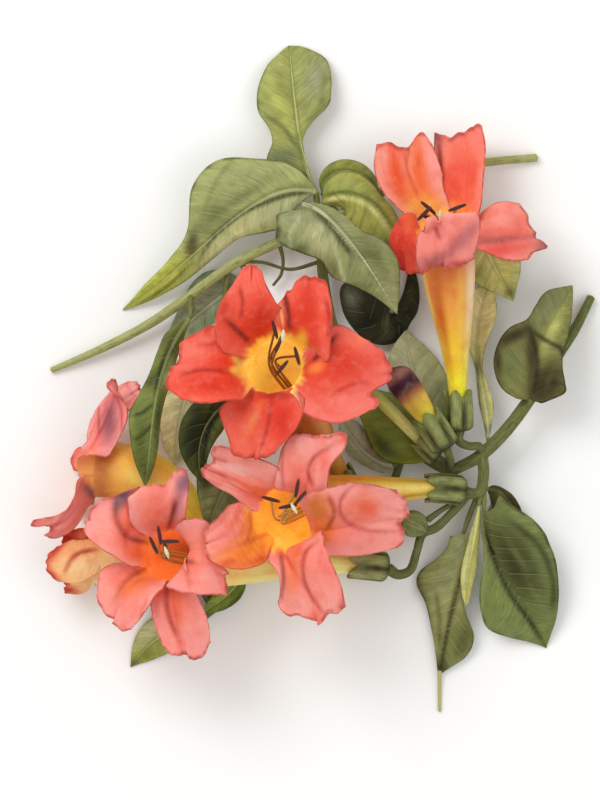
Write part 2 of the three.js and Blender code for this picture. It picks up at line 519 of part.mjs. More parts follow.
// Closed buds standing in their calyces
const BUDS = [
  {
    name: "bud", size: 1, swell: 4.8,
    seat: [446, 448, 23], lead: [432, 424, 22], turn: [418, 404, 22], mouth: [400, 382, 21],
  },
  {
    name: "young_bud", size: 0.6, swell: 2.3,
    seat: [437, 457, 15.5], lead: [424, 445, 15.5], turn: [396, 414, 15.5], mouth: [369, 389, 18],
  },
];

// The outer radius of a flower's tube, or of a bud, at a share of the way from foot to end.
function outerRadius({ mouthRadius, size = 1, swell }, share) {
  if (mouthRadius) return lerp(TUBE_FOOT_RADIUS, mouthRadius, smooth((share - 0.12) / 0.78));
  const dome = Math.sqrt(Math.max(1 - Math.pow(Math.max(share - 0.8, 0) / 0.22, 2), 0));
  return lerp(TUBE_FOOT_RADIUS * size, swell, smooth((share - 0.1) / 0.6)) * dome;
}

// The middle line of a flower's tube with frames carried back from the mouth, and the
// foot that it stands on. Crowding over 1 sets the frames closer together near the foot.
function tubeAxis(flower, steps, crowding = 1) {
  const seat = at(flower.seat);
  const lead = at(flower.lead);
  const rise = lead.clone().sub(seat).normalize();
  const foot = seat.clone().addScaledVector(rise, CALYX_FLOOR);
  const mouth = at(flower.mouth);
  const curve = new THREE.CubicBezierCurve3(foot, lead, at(flower.turn), mouth);
  const aim = curve.getTangentAt(1);
  const facing = flower.lobes ? at(flower.lobes[0].tip).sub(mouth) : new THREE.Vector3(0, 0, 1);
  let first = facing.projectOnPlane(aim).normalize();
  first.applyAxisAngle(aim, degToRad(flower.spin ?? 0));
  const stations = [];
  let last = aim;
  for (let i = steps; i >= 0; i--) {
    const share = Math.pow(i / steps, crowding);
    const ahead = curve.getTangentAt(share);
    first = first.clone().applyQuaternion(new THREE.Quaternion().setFromUnitVectors(last, ahead));
    last = ahead;
    const second = ahead.clone().cross(first);
    stations.unshift({ share, centre: curve.getPointAt(share), ahead, first, second });
  }
  return { curve, stations, rise, foot };
}

// A cup with five teeth that fits round the foot of a tube, with air between them.
function calyx(flower) {
  const size = flower.size ?? 1;
  const steps = 24;
  const { curve, stations, rise, foot } = tubeAxis(flower, steps);
  const length = curve.getLength();
  const station = (height) => {
    const share = clamp(height / length, 0, 1);
    const near = stations[Math.round(share * steps)];
    const centre = curve.getPointAt(share).addScaledVector(rise, Math.min(height, 0));
    return { centre, first: near.first, second: near.second };
  };
  const inner = (height) => outerRadius(flower, clamp(height / length, 0, 1)) + CALYX_PLAY;
  const outer = (height) => inner(height) + CALYX_WALL;
  const round = (height, radius, tooth = 0) => {
    const place = station(height);
    const ahead = place.first.clone().cross(place.second);
    return ring(place, radius, 10).map((p, k) => p.addScaledVector(ahead, k % 2 ? 0 : tooth));
  };
  const top = (CALYX_LENGTH - CALYX_FLOOR) * size;
  const bottom = -CALYX_FLOOR - SUNK;
  const rings = [
    round(bottom, 1.8 * size),
    round(-CALYX_FLOOR / 2, outer(0) * 0.94),
    round(top / 2, outer(top / 2) + 0.2),
    round(top, outer(top), CALYX_TOOTH * size),
    round(top, inner(top), CALYX_TOOTH * size * 0.9),
    round(top / 2, inner(top / 2)),
    round(-SEAT_GAP, inner(0)),
  ];
  return skin(rings, station(bottom).centre, station(-SEAT_GAP).centre);
}

// A corolla, joined from five petals so that lobes may lie over each other.
function corollaGeometry(bloom) {
  const { tube: tubeSteps, sector, lobe: lobeSteps } = COROLLA_STEPS;
  const { stations } = tubeAxis(bloom, tubeSteps, 1.3);
  const sides = 5 * sector;
  const end = stations[tubeSteps];
  const middle = (share) => outerRadius(bloom, share) - PETAL_THICK / 2;
  const points = stations.flatMap((s) => ring(s, middle(s.share), sides, -SECTOR / 2));
  const wall = (i, k) => i * sides + (k % sides);
  const petals = bloom.lobes.map((shape, n) => {
    const start = points.length;
    points.push(...lobeRows(shape, end, n * SECTOR, middle(1), sector, lobeSteps).flat());
    const inLobe = (row, j) => start + (row - 1) * (sector + 1) + j;
    const place = (row, j) =>
      row > tubeSteps ? inLobe(row - tubeSteps, j) : wall(row, n * sector + j);
    return gridTriangles(tubeSteps + lobeSteps, sector, place).map(([a, b, c]) => [a, c, b]);
  });
  const skins = bothSides(points, petals.flat(), PETAL_THICK);
  return joined(petals.map((petal) => geometryOf(skins, shellFaces(petal, points.length))));
}

// Rows of points across a lobe, from its right margin to its left, after its root row.
function lobeRows({ knee, tip, left, right, rim, roll = [0, 0], cup }, mouth, angle, radius, sector, steps) {
  const out = mouth.first.clone().applyAxisAngle(mouth.ahead, angle);
  const along = mouth.second.clone().applyAxisAngle(mouth.ahead, angle);
  const root = mouth.centre.clone().addScaledVector(out, radius);
  const start = root.clone().addScaledVector(mouth.ahead, root.distanceTo(at(knee)) * 0.5);
  const line = new THREE.CubicBezierCurve3(root, start, at(knee), at(tip));
  const rootHalf = radius * Math.sin(SECTOR / 2);
  return Array.from({ length: steps }, (_, k) => {
    const t = (k + 1) / steps;
    const ahead = line.getTangent(t);
    const side = along.clone().projectOnPlane(ahead).normalize();
    side.applyAxisAngle(ahead, degToRad(lerp(roll[0], roll[1], t)));
    const inward = ahead.clone().cross(side);
    const opened = smooth(t / 0.35);
    return Array.from({ length: sector + 1 }, (_, j) => {
      const a = (2 * j) / sector - 1;
      const half = sample([rootHalf, ...(a > 0 ? left : right)], t);
      const angleThere = (a * SECTOR) / 2;
      const across = lerp(radius * Math.sin(angleThere), a * half, opened);
      const lift = lerp(radius * (1 - Math.cos(angleThere)), cup * half * a * a, opened);
      const edge = sample(rim, (a + 1) / 2) * smooth((t - 0.35) / 0.65);
      return line
        .getPoint(t)
        .addScaledVector(side, across)
        .addScaledVector(inward, lift)
        .addScaledVector(ahead, edge);
    });
  });
}

function spindle(middle, lie, length, radius) {
  const place = (share) => middle.clone().addScaledVector(lie, share * length);
  const rings = framesAlong([place(-0.3), place(0.3)]).map((frame) => ring(frame, radius, 4));
  return skin(rings, place(-0.5), place(0.5));
}

// Four stamens and a style that stand on one disc on the calyx floor inside the tube.
function stamenGeometry(bloom) {
  const { stations, rise, foot } = tubeAxis(bloom, 4);
  const above = (height) => foot.clone().addScaledVector(rise, height);
  const disc = tube([above(0), above(1.6)], [1.8, 1.4], 6);
  const ends = [...bloom.anthers, bloom.stigma];
  const stalks = ends.map((end, k) => {
    const angle = (2 * Math.PI * k) / ends.length;
    const places = stations.map((s, i) => {
      const away = i ? 1.4 : 0.9;
      return s.centre
        .clone()
        .addScaledVector(s.first, away * Math.cos(angle))
        .addScaledVector(s.second, away * Math.sin(angle))
        .addScaledVector(s.ahead, [0.6, 0, 0, 0, 3][i]);
    });
    const line = new THREE.CatmullRomCurve3([...places, at(end)], false, "centripetal");
    const centres = line.getSpacedPoints(FILAMENT_STEPS);
    return tube(centres, centres.map(() => FILAMENT_RADIUS), FILAMENT_SIDES);
  });
  const tips = ends.map((end) => {
    const heading = degToRad(end[3]);
    const lie = new THREE.Vector3(Math.cos(heading), Math.sin(heading), 0.15).normalize();
    return spindle(at(end), lie, ANTHER_LENGTH, ANTHER_RADIUS);
  });
  return joined([disc, ...stalks, ...tips]);
}

function budGeometry(bud) {
  const { stations } = tubeAxis(bud, 8);
  const rings = stations.map((s) => ring(s, outerRadius(bud, s.share), 10));
  const end = stations[stations.length - 1];
  return skin(rings, stations[0].centre, end.centre.clone().addScaledVector(end.ahead, 0.6));
}

// The calyx of a flower that has dropped, closed over, with the foot of its style.
function spentCalyx() {
  const cup = branch([[425, 531, 12, 2], [419, 527, 12.6, 4.2], [411, 523, 12.8, 4.6], [405, 521, 12.6, 3.6]], 8, 1);
  const style = branch([[408, 522, 12.6, 1.3], [399, 520, 12.6, 1.5]], 6, 1);
  return [cup, style];
}

function stemGeometry() {
  return joined([
    ...Object.values(BRANCHES).map((places) => branch(places, STEM_SIDES)),
    ...Object.values(STALKS).map((places) => branch(places, STALK_SIDES)),
    ...LEAVES.map(petiole),
    ...[...BLOOMS, ...BUDS].map(calyx),
    ...spentCalyx(),
  ]);
}

const FINISHES = {
  bark: { color: 0x6b7440, roughness: 0.62, metalness: 0 },
  leafLight: { color: 0x9aa86a, roughness: 0.5, metalness: 0 },
  leafGreen: { color: 0x6f8552, roughness: 0.48, metalness: 0 },
  leafDeep: { color: 0x4e6237, roughness: 0.45, metalness: 0 },
  leafPale: { color: 0xa3ae88, roughness: 0.55, metalness: 0 },
  leafBronze: { color: 0x5b5a35, roughness: 0.5, metalness: 0 },
  petalRed: { color: 0xe8513a, roughness: 0.55, metalness: 0 },
  petalPink: { color: 0xf4827a, roughness: 0.58, metalness: 0 },
  filament: { color: 0xe9c25a, roughness: 0.5, metalness: 0 },
  bud: { color: 0xd9c04c, roughness: 0.5, metalness: 0 },
};

const spray = new THREE.Group();
spray.name = "trumpet_vine_spray";

function addPiece(name, geometry, finish) {
  const piece = new THREE.Mesh(geometry, new THREE.MeshStandardMaterial(FINISHES[finish]));
  piece.name = name;
  spray.add(piece);
}

addPiece("stem", stemGeometry(), "bark");
for (const leaf of LEAVES) {
  const blade = leafGeometry(leaf);
  const whole = leaf.tendril ? joined([blade, branch(leaf.tendril, STALK_SIDES)]) : blade;
  addPiece(leaf.name, whole, leaf.finish);
}
for (const bloom of BLOOMS) {
  addPiece(`corolla_${bloom.name}`, corollaGeometry(bloom), bloom.petal);
  addPiece(`stamens_${bloom.name}`, stamenGeometry(bloom), "filament");
}
for (const bud of BUDS) addPiece(bud.name, budGeometry(bud), "bud");

export default spray;
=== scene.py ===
"""A cut flowering spray of blood-red trumpet vine: fine surfaces and finishes.

The spray lies on its back on a level surface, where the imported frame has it. A place is
written as (column, row, height): columns run to the right and rows run down in steps of
0.35 mm over the spray, and heights are millimetres above the surface. Lengths are
millimetres until a mesh is made, which is in metres.
"""

from __future__ import annotations

import logging
from dataclasses import dataclass, field
from enum import Enum

import bpy
import numpy as np
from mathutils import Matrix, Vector

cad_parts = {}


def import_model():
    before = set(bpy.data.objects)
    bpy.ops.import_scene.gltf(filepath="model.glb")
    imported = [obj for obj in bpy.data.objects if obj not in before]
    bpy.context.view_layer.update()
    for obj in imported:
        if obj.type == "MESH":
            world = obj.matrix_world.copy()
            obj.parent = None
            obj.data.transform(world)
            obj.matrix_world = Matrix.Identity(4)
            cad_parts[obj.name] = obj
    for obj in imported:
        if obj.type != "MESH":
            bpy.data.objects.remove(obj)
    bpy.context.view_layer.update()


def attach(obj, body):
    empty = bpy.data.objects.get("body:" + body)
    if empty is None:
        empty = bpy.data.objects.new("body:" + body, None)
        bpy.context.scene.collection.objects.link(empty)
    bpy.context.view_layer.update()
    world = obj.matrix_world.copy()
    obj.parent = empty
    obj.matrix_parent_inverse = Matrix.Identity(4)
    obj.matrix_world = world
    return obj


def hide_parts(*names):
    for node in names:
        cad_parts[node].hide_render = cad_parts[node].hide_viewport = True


Array = np.ndarray
Place = tuple[float, float, float]
Colour = tuple[int, int, int]
Run = tuple[tuple[float, float, float, float], ...]
Socket = bpy.types.NodeSocket
Material = bpy.types.Material

LOG = logging.getLogger("trumpet_vine")

STEP = 0.35
MIDDLE = np.array([308.7, 379.0])
METRE = 0.001
FIFTH = 2 * np.pi / 5
EYE = 1 / 2.2

LEAF_THICK = 0.55
PETAL_THICK = 0.5
TUBE_FOOT_RADIUS = 3.3
CALYX_LENGTH = 12.5
CALYX_WALL = 0.9
CALYX_FLOOR = 2.4
CALYX_TOOTH = 1.6
CALYX_PLAY = 0.8
SUNK = 0.6
PETIOLE_RADIUS = 1.0
PETIOLE_TONE = (118, 122, 66)
FILAMENT_RADIUS = 0.42
ANTHER_LENGTH = 7.0
ANTHER_RADIUS = 0.55
STIGMA_LENGTH = 4.6
STIGMA_RADIUS = 0.85

FLOOR_GAP = 0.02
UPPER_FACE_GAP = 0.4
WALL_INSET = 0.35
LAP_ASIDE = 1.3
LAP_INWARD = 0.6
VEIN_SLOPE = 0.75
VEIN_STAGGER = 0.42
QUILT_DEPTH = 0.32
GROOVE_DEPTH = 0.3
CALYX_SIDES = 70
CALYX_ROWS_OUTSIDE = 30
CALYX_ROWS_INSIDE = 14
AXIS_STEPS = 600
FILAMENT_STEPS = 90
BRANCH_STEP = 0.8


def at(places: Array | tuple | list) -> Array:
    """Millimetres of places given as columns, rows and heights."""
    given = np.asarray(places, float)
    x = (given[..., 0] - MIDDLE[0]) * STEP
    y = (MIDDLE[1] - given[..., 1]) * STEP
    return np.stack([x, y, given[..., 2]], -1)


def smooth(x: Array | float) -> Array:
    """The S-shaped rise from 0 to 1: 3x² - 2x³."""
    x = np.clip(x, 0, 1)
    return x * x * (3 - 2 * x)


def mix(a: Array | float, b: Array | float, share: Array | float) -> Array:
    """Straight mix of a and b, where share 1 is all b."""
    return np.asarray(a) + (np.asarray(b) - np.asarray(a)) * share


def bump(x: Array | float, middle: float, spread: float) -> Array:
    """A bell round middle: exp(-((x - middle) / spread)²)."""
    return np.exp(-(((np.asarray(x) - middle) / spread) ** 2))


def linear(colour: Colour) -> Array:
    """Linear light values of a colour written in 0 to 255."""
    c = np.asarray(colour, float) / 255
    return np.where(c <= 0.04045, c / 12.92, ((c + 0.055) / 1.055) ** 2.4)


def unit(vectors: Array) -> Array:
    """Vectors brought to length 1."""
    return vectors / np.maximum(np.linalg.norm(vectors, axis=-1, keepdims=True), 1e-12)


def sample(values: tuple | Array, share: Array | float) -> Array:
    """A smooth curve through equally spaced values (Catmull-Rom), read at shares of the way."""
    values = np.asarray(values, float)
    last = len(values) - 1
    place = np.clip(share, 0, 1) * last
    i = np.minimum(np.floor(place).astype(int), last - 1)
    f = place - i
    if values.ndim > 1:
        f = f[..., None]
    a, b, c, d = (values[np.clip(i + k, 0, last)] for k in (-1, 0, 1, 2))
    return b + 0.5 * f * (c - a + f * (2 * a - 5 * b + 4 * c - d + f * (3 * (b - c) + d - a)))


def through(places: Array, share: Array) -> Array:
    """A centripetal Catmull-Rom curve through places, read at shares of their count."""
    last = len(places) - 1
    padded = np.vstack([2 * places[0] - places[1], places, 2 * places[-1] - places[-2]])
    i = np.minimum(np.floor(share * last).astype(int), last - 1)
    w = (share * last - i)[:, None]
    p0, p1, p2, p3 = (padded[i + k] for k in range(4))
    d0, d1, d2 = (np.linalg.norm(b - a, axis=1)[:, None] ** 0.5 for a, b in ((p0, p1), (p1, p2), (p2, p3)))
    out = d1 * ((p1 - p0) / d0 - (p2 - p0) / (d0 + d1) + (p2 - p1) / d1)
    into = d1 * ((p2 - p1) / d1 - (p3 - p1) / (d1 + d2) + (p3 - p2) / d2)
    return p1 + w * (out + w * (3 * (p2 - p1) - 2 * out - into + w * (2 * (p1 - p2) + out + into)))


def bezier(ends: Array, t: Array) -> tuple[Array, Array]:
    """Points and unit tangents of a cubic Bezier curve with the four given points."""
    a, b, c, d = ends
    t = np.asarray(t, float)[:, None]
    s = 1 - t
    points = s**3 * a + 3 * s * s * t * b + 3 * s * t * t * c + t**3 * d
    tangents = s * s * (b - a) + 2 * s * t * (c - b) + t * t * (d - c)
    return points, unit(tangents)


def turned(vectors: Array, axes: Array, angle: Array | float) -> Array:
    """Vectors turned about unit axes by an angle in radians (Rodrigues' formula)."""
    angle = np.asarray(angle, float)[..., None]
    along = np.sum(axes * vectors, -1, keepdims=True)
    across = np.cross(axes, vectors)
    return vectors * np.cos(angle) + across * np.sin(angle) + axes * along * (1 - np.cos(angle))


def carried(first: Array, aheads: Array) -> Array:
    """Side vectors carried along a run of tangents, each turned only as far as the run bends."""
    sides = [first]
    for before, after in zip(aheads[:-1], aheads[1:]):
        cross = np.cross(before, after)
        size = np.linalg.norm(cross)
        side = sides[-1]
        if size > 1e-9:
            side = turned(side, cross / size, np.arctan2(size, before @ after))
        sides.append(unit(side - after * (side @ after)))
    return np.array(sides)


def wobble(x: Array, y: Array, seed: int, waves: int = 5) -> Array:
    """Gentle unevenness in about -1 to 1: a few sine waves of seeded direction and phase."""
    draw = np.random.default_rng(seed)
    total = np.zeros(np.broadcast(x, y).shape)
    for k in range(waves):
        fx, fy = draw.normal(0, 1.2 + 0.8 * k, 2)
        total += np.sin(2 * np.pi * (fx * x + fy * y) + draw.uniform(0, 6.28)) / (1.2 + k)
    return total / 1.8


@dataclass
class Surface:
    """Points with their faces, values and pattern coordinates."""

    points: Array
    faces: list[Array]
    tint: Array
    uv: Array
    values: dict[str, Array] = field(default_factory=dict)

    @staticmethod
    def merged(surfaces: list[Surface]) -> Surface:
        """One surface that holds all the given ones, with their faces renumbered."""
        starts = np.cumsum([0] + [len(s.points) for s in surfaces[:-1]])
        faces = [f + start for s, start in zip(surfaces, starts) for f in s.faces]
        names = surfaces[0].values
        return Surface(
            np.concatenate([s.points for s in surfaces]),
            faces,
            np.concatenate([s.tint for s in surfaces]),
            np.concatenate([s.uv for s in surfaces]),
            {n: np.concatenate([s.values[n] for s in surfaces]) for n in names},
        )


def grid_faces(index: Array) -> Array:
    """Four-cornered faces of a grid of point numbers, turned the way rows cross columns."""
    return np.stack([index[:-1, :-1], index[1:, :-1], index[1:, 1:], index[:-1, 1:]], -1).reshape(-1, 4)


def point_normals(points: Array, faces: Array) -> Array:
    """Unit normals of points, each the sum of its faces' crossed diagonals."""
    corner = points[faces]
    normal = np.cross(corner[:, 2] - corner[:, 0], corner[:, 3] - corner[:, 1])
    total = np.zeros_like(points)
    for k in range(4):
        np.add.at(total, faces[:, k], normal)
    return unit(total)


def thickened(points: Array, faces: Array, half: Array) -> tuple[Array, list[Array]]:
    """Both faces of a thin sheet and its rim.

    Every point goes half its thickness to each side along its normal, and each free edge
    gets a strip of rim.

    Args:
        points: the middle surface.
        faces: its four-cornered faces.
        half: half the thickness at each point.

    Returns:
        The points, first those of the upper side and then the lower, and the faces.
    """
    shift = point_normals(points, faces) * half[:, None]
    count = len(points)
    edges = np.concatenate([faces[:, [k, (k + 1) % 4]] for k in range(4)])
    key = np.sort(edges, 1) @ np.array([count, 1])
    _, where, times = np.unique(key, return_index=True, return_counts=True)
    free = edges[where[times == 1]]
    rim = np.stack([free[:, 1], free[:, 0], free[:, 0] + count, free[:, 1] + count], 1)
    both = np.concatenate([points + shift, points - shift])
    both[:, 2] = np.maximum(both[:, 2], np.where(np.arange(2 * count) < count, UPPER_FACE_GAP, FLOOR_GAP))
    return both, [faces, faces[:, ::-1] + count, rim]


def ring_faces(rows: int, sides: int) -> list[Array]:
    """Faces of rows of rings, closed round and by a fan to a pole at each end.

    The two poles follow the rings in the list of points.
    """
    index = np.arange(rows * sides).reshape(rows, sides)
    index = np.concatenate([index, index[:, :1]], 1)
    first_pole = rows * sides
    return [
        grid_faces(index)[:, ::-1],
        np.stack([index[0, 1:], index[0, :-1], np.full(sides, first_pole)], 1),
        np.stack([index[-1, :-1], index[-1, 1:], np.full(sides, first_pole + 1)], 1),
    ]


def outwards(first: Array, second: Array, angle: Array) -> Array:
    """Directions round each centre: first times the angle's cosine plus second times its sine."""
    return np.cos(angle)[:, None] * first[:, None] + np.sin(angle)[:, None] * second[:, None]


def tube_surface(
    centres: Array, radii: Array, sides: int, tint: Array, ribs: tuple[int, float] = (0, 0.0)
) -> Surface:
    """A round skin along a run of centres, closed at both ends.

    Each ring lies square to the run. Ribs raise the skin by a share of its radius, as the
    cosine of the angle times their count.

    Args:
        centres: middle points along the run.
        radii: the radius at each centre.
        sides: points round each ring.
        tint: linear colour, one for all or one for each centre.
        ribs: how many ribs, and their height as a share of the radius.

    Returns:
        The closed surface, with uv as share round and millimetres along.
    """
    aheads = unit(np.gradient(centres, axis=0))
    helper = np.array([0.0, 0.0, 1.0]) if abs(aheads[0, 2]) < 0.9 else np.array([1.0, 0.0, 0.0])
    first = carried(unit(helper - aheads[0] * (helper @ aheads[0])), aheads)
    second = np.cross(aheads, first)
    angle = np.linspace(0, 2 * np.pi, sides, endpoint=False)
    reach = radii[:, None] * (1 + ribs[1] * np.cos(ribs[0] * angle))
    skin = centres[:, None] + reach[..., None] * outwards(first, second, angle)
    rows = len(centres)
    poles = centres[[0, -1]] + aheads[[0, -1]] * radii[[0, -1], None] * np.array([[-0.5], [0.5]])
    points = np.concatenate([skin.reshape(-1, 3), poles])
    points[:, 2] = np.maximum(points[:, 2], FLOOR_GAP)
    run = np.concatenate([[0], np.cumsum(np.linalg.norm(np.diff(centres, axis=0), axis=1))])
    around = np.abs(np.linspace(-1, 1, sides, endpoint=False))
    uv = np.stack(np.broadcast_arrays(around[None] * 8, run[:, None]), -1).reshape(-1, 2)
    uv = np.concatenate([uv, [[0, 0], [0, run[-1]]]])
    tints = np.broadcast_to(np.atleast_2d(tint), (rows, 3))
    tints = np.concatenate([np.repeat(tints, sides, 0), tints[[0, -1]]])
    return Surface(points, ring_faces(rows, sides), tints, uv)


class Slot(Enum):
    """Material slots of the record."""

    BARK = "bark"
    LEAF_LIGHT = "leafLight"
    LEAF_GREEN = "leafGreen"
    LEAF_DEEP = "leafDeep"
    LEAF_PALE = "leafPale"
    LEAF_BRONZE = "leafBronze"
    PETAL_RED = "petalRed"
    PETAL_PINK = "petalPink"
    FILAMENT = "filament"
    BUD = "bud"


def add_piece(name: str, surface: Surface, material: Material) -> bpy.types.Object:
    """Makes the mesh object that stands for the frame's node of the same name.

    Args:
        name: name of the node that it replaces.
        surface: its surface in millimetres.
        material: its finish.

    Returns:
        The object, riding on the root body.
    """
    mesh = bpy.data.meshes.new(name)
    loops = np.concatenate([f.ravel() for f in surface.faces])
    totals = np.concatenate([np.full(len(f), f.shape[1]) for f in surface.faces])
    mesh.vertices.add(len(surface.points))
    mesh.vertices.foreach_set("co", (surface.points * METRE).ravel())
    mesh.loops.add(len(loops))
    mesh.loops.foreach_set("vertex_index", loops)
    mesh.polygons.add(len(totals))
    mesh.polygons.foreach_set("loop_start", np.concatenate([[0], np.cumsum(totals)[:-1]]))
    mesh.update(calc_edges=True)
    mesh.polygons.foreach_set("use_smooth", np.ones(len(totals), bool))
    uv_map = mesh.uv_layers.new(name="UVMap")
    uv_map.data.foreach_set("uv", surface.uv[loops].ravel())
    tint = mesh.attributes.new("tint", "FLOAT_COLOR", "POINT")
    rgba = np.concatenate([np.clip(surface.tint, 0, 1), np.ones((len(surface.points), 1))], 1)
    tint.data.foreach_set("color", rgba.ravel())
    for key, values in surface.values.items():
        mesh.attributes.new(key, "FLOAT", "POINT").data.foreach_set("value", values)
    mesh.validate()
    mesh.materials.append(material)
    piece = bpy.data.objects.new(name + "_fine", mesh)
    bpy.context.scene.collection.objects.link(piece)
    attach(piece, "root")
    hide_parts(name)
    LOG.info("%s: %d points, %d faces", name, len(surface.points), len(totals))
    return piece


def bell(u: Array, v: Array, along: float, across: float, long: float, wide: float, slant: float) -> Array:
    """A bell over a blade: exp(-(x / long)² - (y / wide)²) with its axes turned by slant degrees."""
    du, dv = u - along, (v - across) / 2
    turn = np.radians(slant)
    x = du * np.cos(turn) + dv * np.sin(turn)
    y = dv * np.cos(turn) - du * np.sin(turn)
    return bump(x, 0, long) * bump(y, 0, wide / 2)


@dataclass(frozen=True)
class Wash:
    """A soft patch of colour laid over a blade or a lobe, like thin paint: some washes are the thing's own
    colour, others are painted shade and painted highlights.
    """

    colour: Colour
    along: float
    across: float
    long: float
    wide: float
    amount: float = 0.8
    slant: float = 0.0

    def over(self, tint: Array, u: Array, v: Array) -> Array:
        """Mixes the wash into tint by its bell."""
        share = self.amount * bell(u, v, self.along, self.across, self.long, self.wide, self.slant)
        return mix(tint, linear(self.colour), share[..., None])


@dataclass(frozen=True)
class Hump:
    """A soft swelling of a blade or a lobe, or a furrow where its height is negative."""

    along: float
    across: float
    long: float
    wide: float
    height: float
    slant: float = 0.0

    def lift(self, u: Array, v: Array) -> Array:
        """Millimetres that the surface is raised by."""
        return self.height * bell(u, v, self.along, self.across, self.long, self.wide, self.slant)


@dataclass(frozen=True)
class Paint:
    """Paint laid on from above: its cover depends only on where a point lies in plan. Its patches and
    strokes hold the leaves' and petals' own colours, and also painted shade in folds and creases and painted
    highlights.
    """

    colour: Colour
    amount: float = 0.8

    def cover(self, points: Array) -> Array:
        """Share of each point that the paint hides, 0 to 1, before its amount."""
        raise NotImplementedError

    def over(self, tint: Array, points: Array) -> Array:
        """Mixes the paint into tint in even steps for the eye."""
        share = (self.amount * self.cover(points))[..., None]
        return mix(np.maximum(tint, 0) ** EYE, linear(self.colour) ** EYE, share) ** (1 / EYE)


@dataclass(frozen=True)
class Patch(Paint):
    """A soft patch round a place, turned by degrees counterclockwise; firm gives it a crisp edge."""

    place: tuple[float, float] = (0.0, 0.0)
    long: float = 5.0
    wide: float = 3.0
    turn: float = 0.0
    firm: float = 1.0

    def cover(self, points: Array) -> Array:
        """A flattened bell: exp(-((x / long)² + (y / wide)²)^firm)."""
        away = points[..., :2] - at((*self.place, 0.0))[:2]
        turn = np.radians(self.turn)
        x = away[..., 0] * np.cos(turn) + away[..., 1] * np.sin(turn)
        y = away[..., 1] * np.cos(turn) - away[..., 0] * np.sin(turn)
        return np.exp(-(((x / self.long) ** 2 + (y / self.wide) ** 2) ** self.firm))


@dataclass(frozen=True)
class Stroke(Paint):
    """A brushed line through places, faint at its ends, which sinks into the surface by depth."""

    places: tuple[tuple[float, float], ...] = ()
    wide: float = 0.7
    depth: float = 0.0

    def cover(self, points: Array) -> Array:
        """A bell of the distance in plan to the line."""
        share = np.linspace(0, 1, 40)
        line = at(np.column_stack([sample(self.places, share), np.zeros(40)]))[:, :2]
        away = np.linalg.norm(points[..., None, :2] - line, axis=-1)
        ends = smooth(np.minimum(share, 1 - share) / 0.2)[away.argmin(-1)]
        return np.exp(-((away.min(-1) / self.wide) ** 2)) * mix(0.3, 1.0, ends)


def sunk_by(paint: tuple[Paint, ...], points: Array) -> Array:
    """Millimetres that the strokes among the paint sink each point by."""
    depth = sum(each.depth * each.cover(points) for each in paint if isinstance(each, Stroke))
    return np.asarray(depth)[..., None]


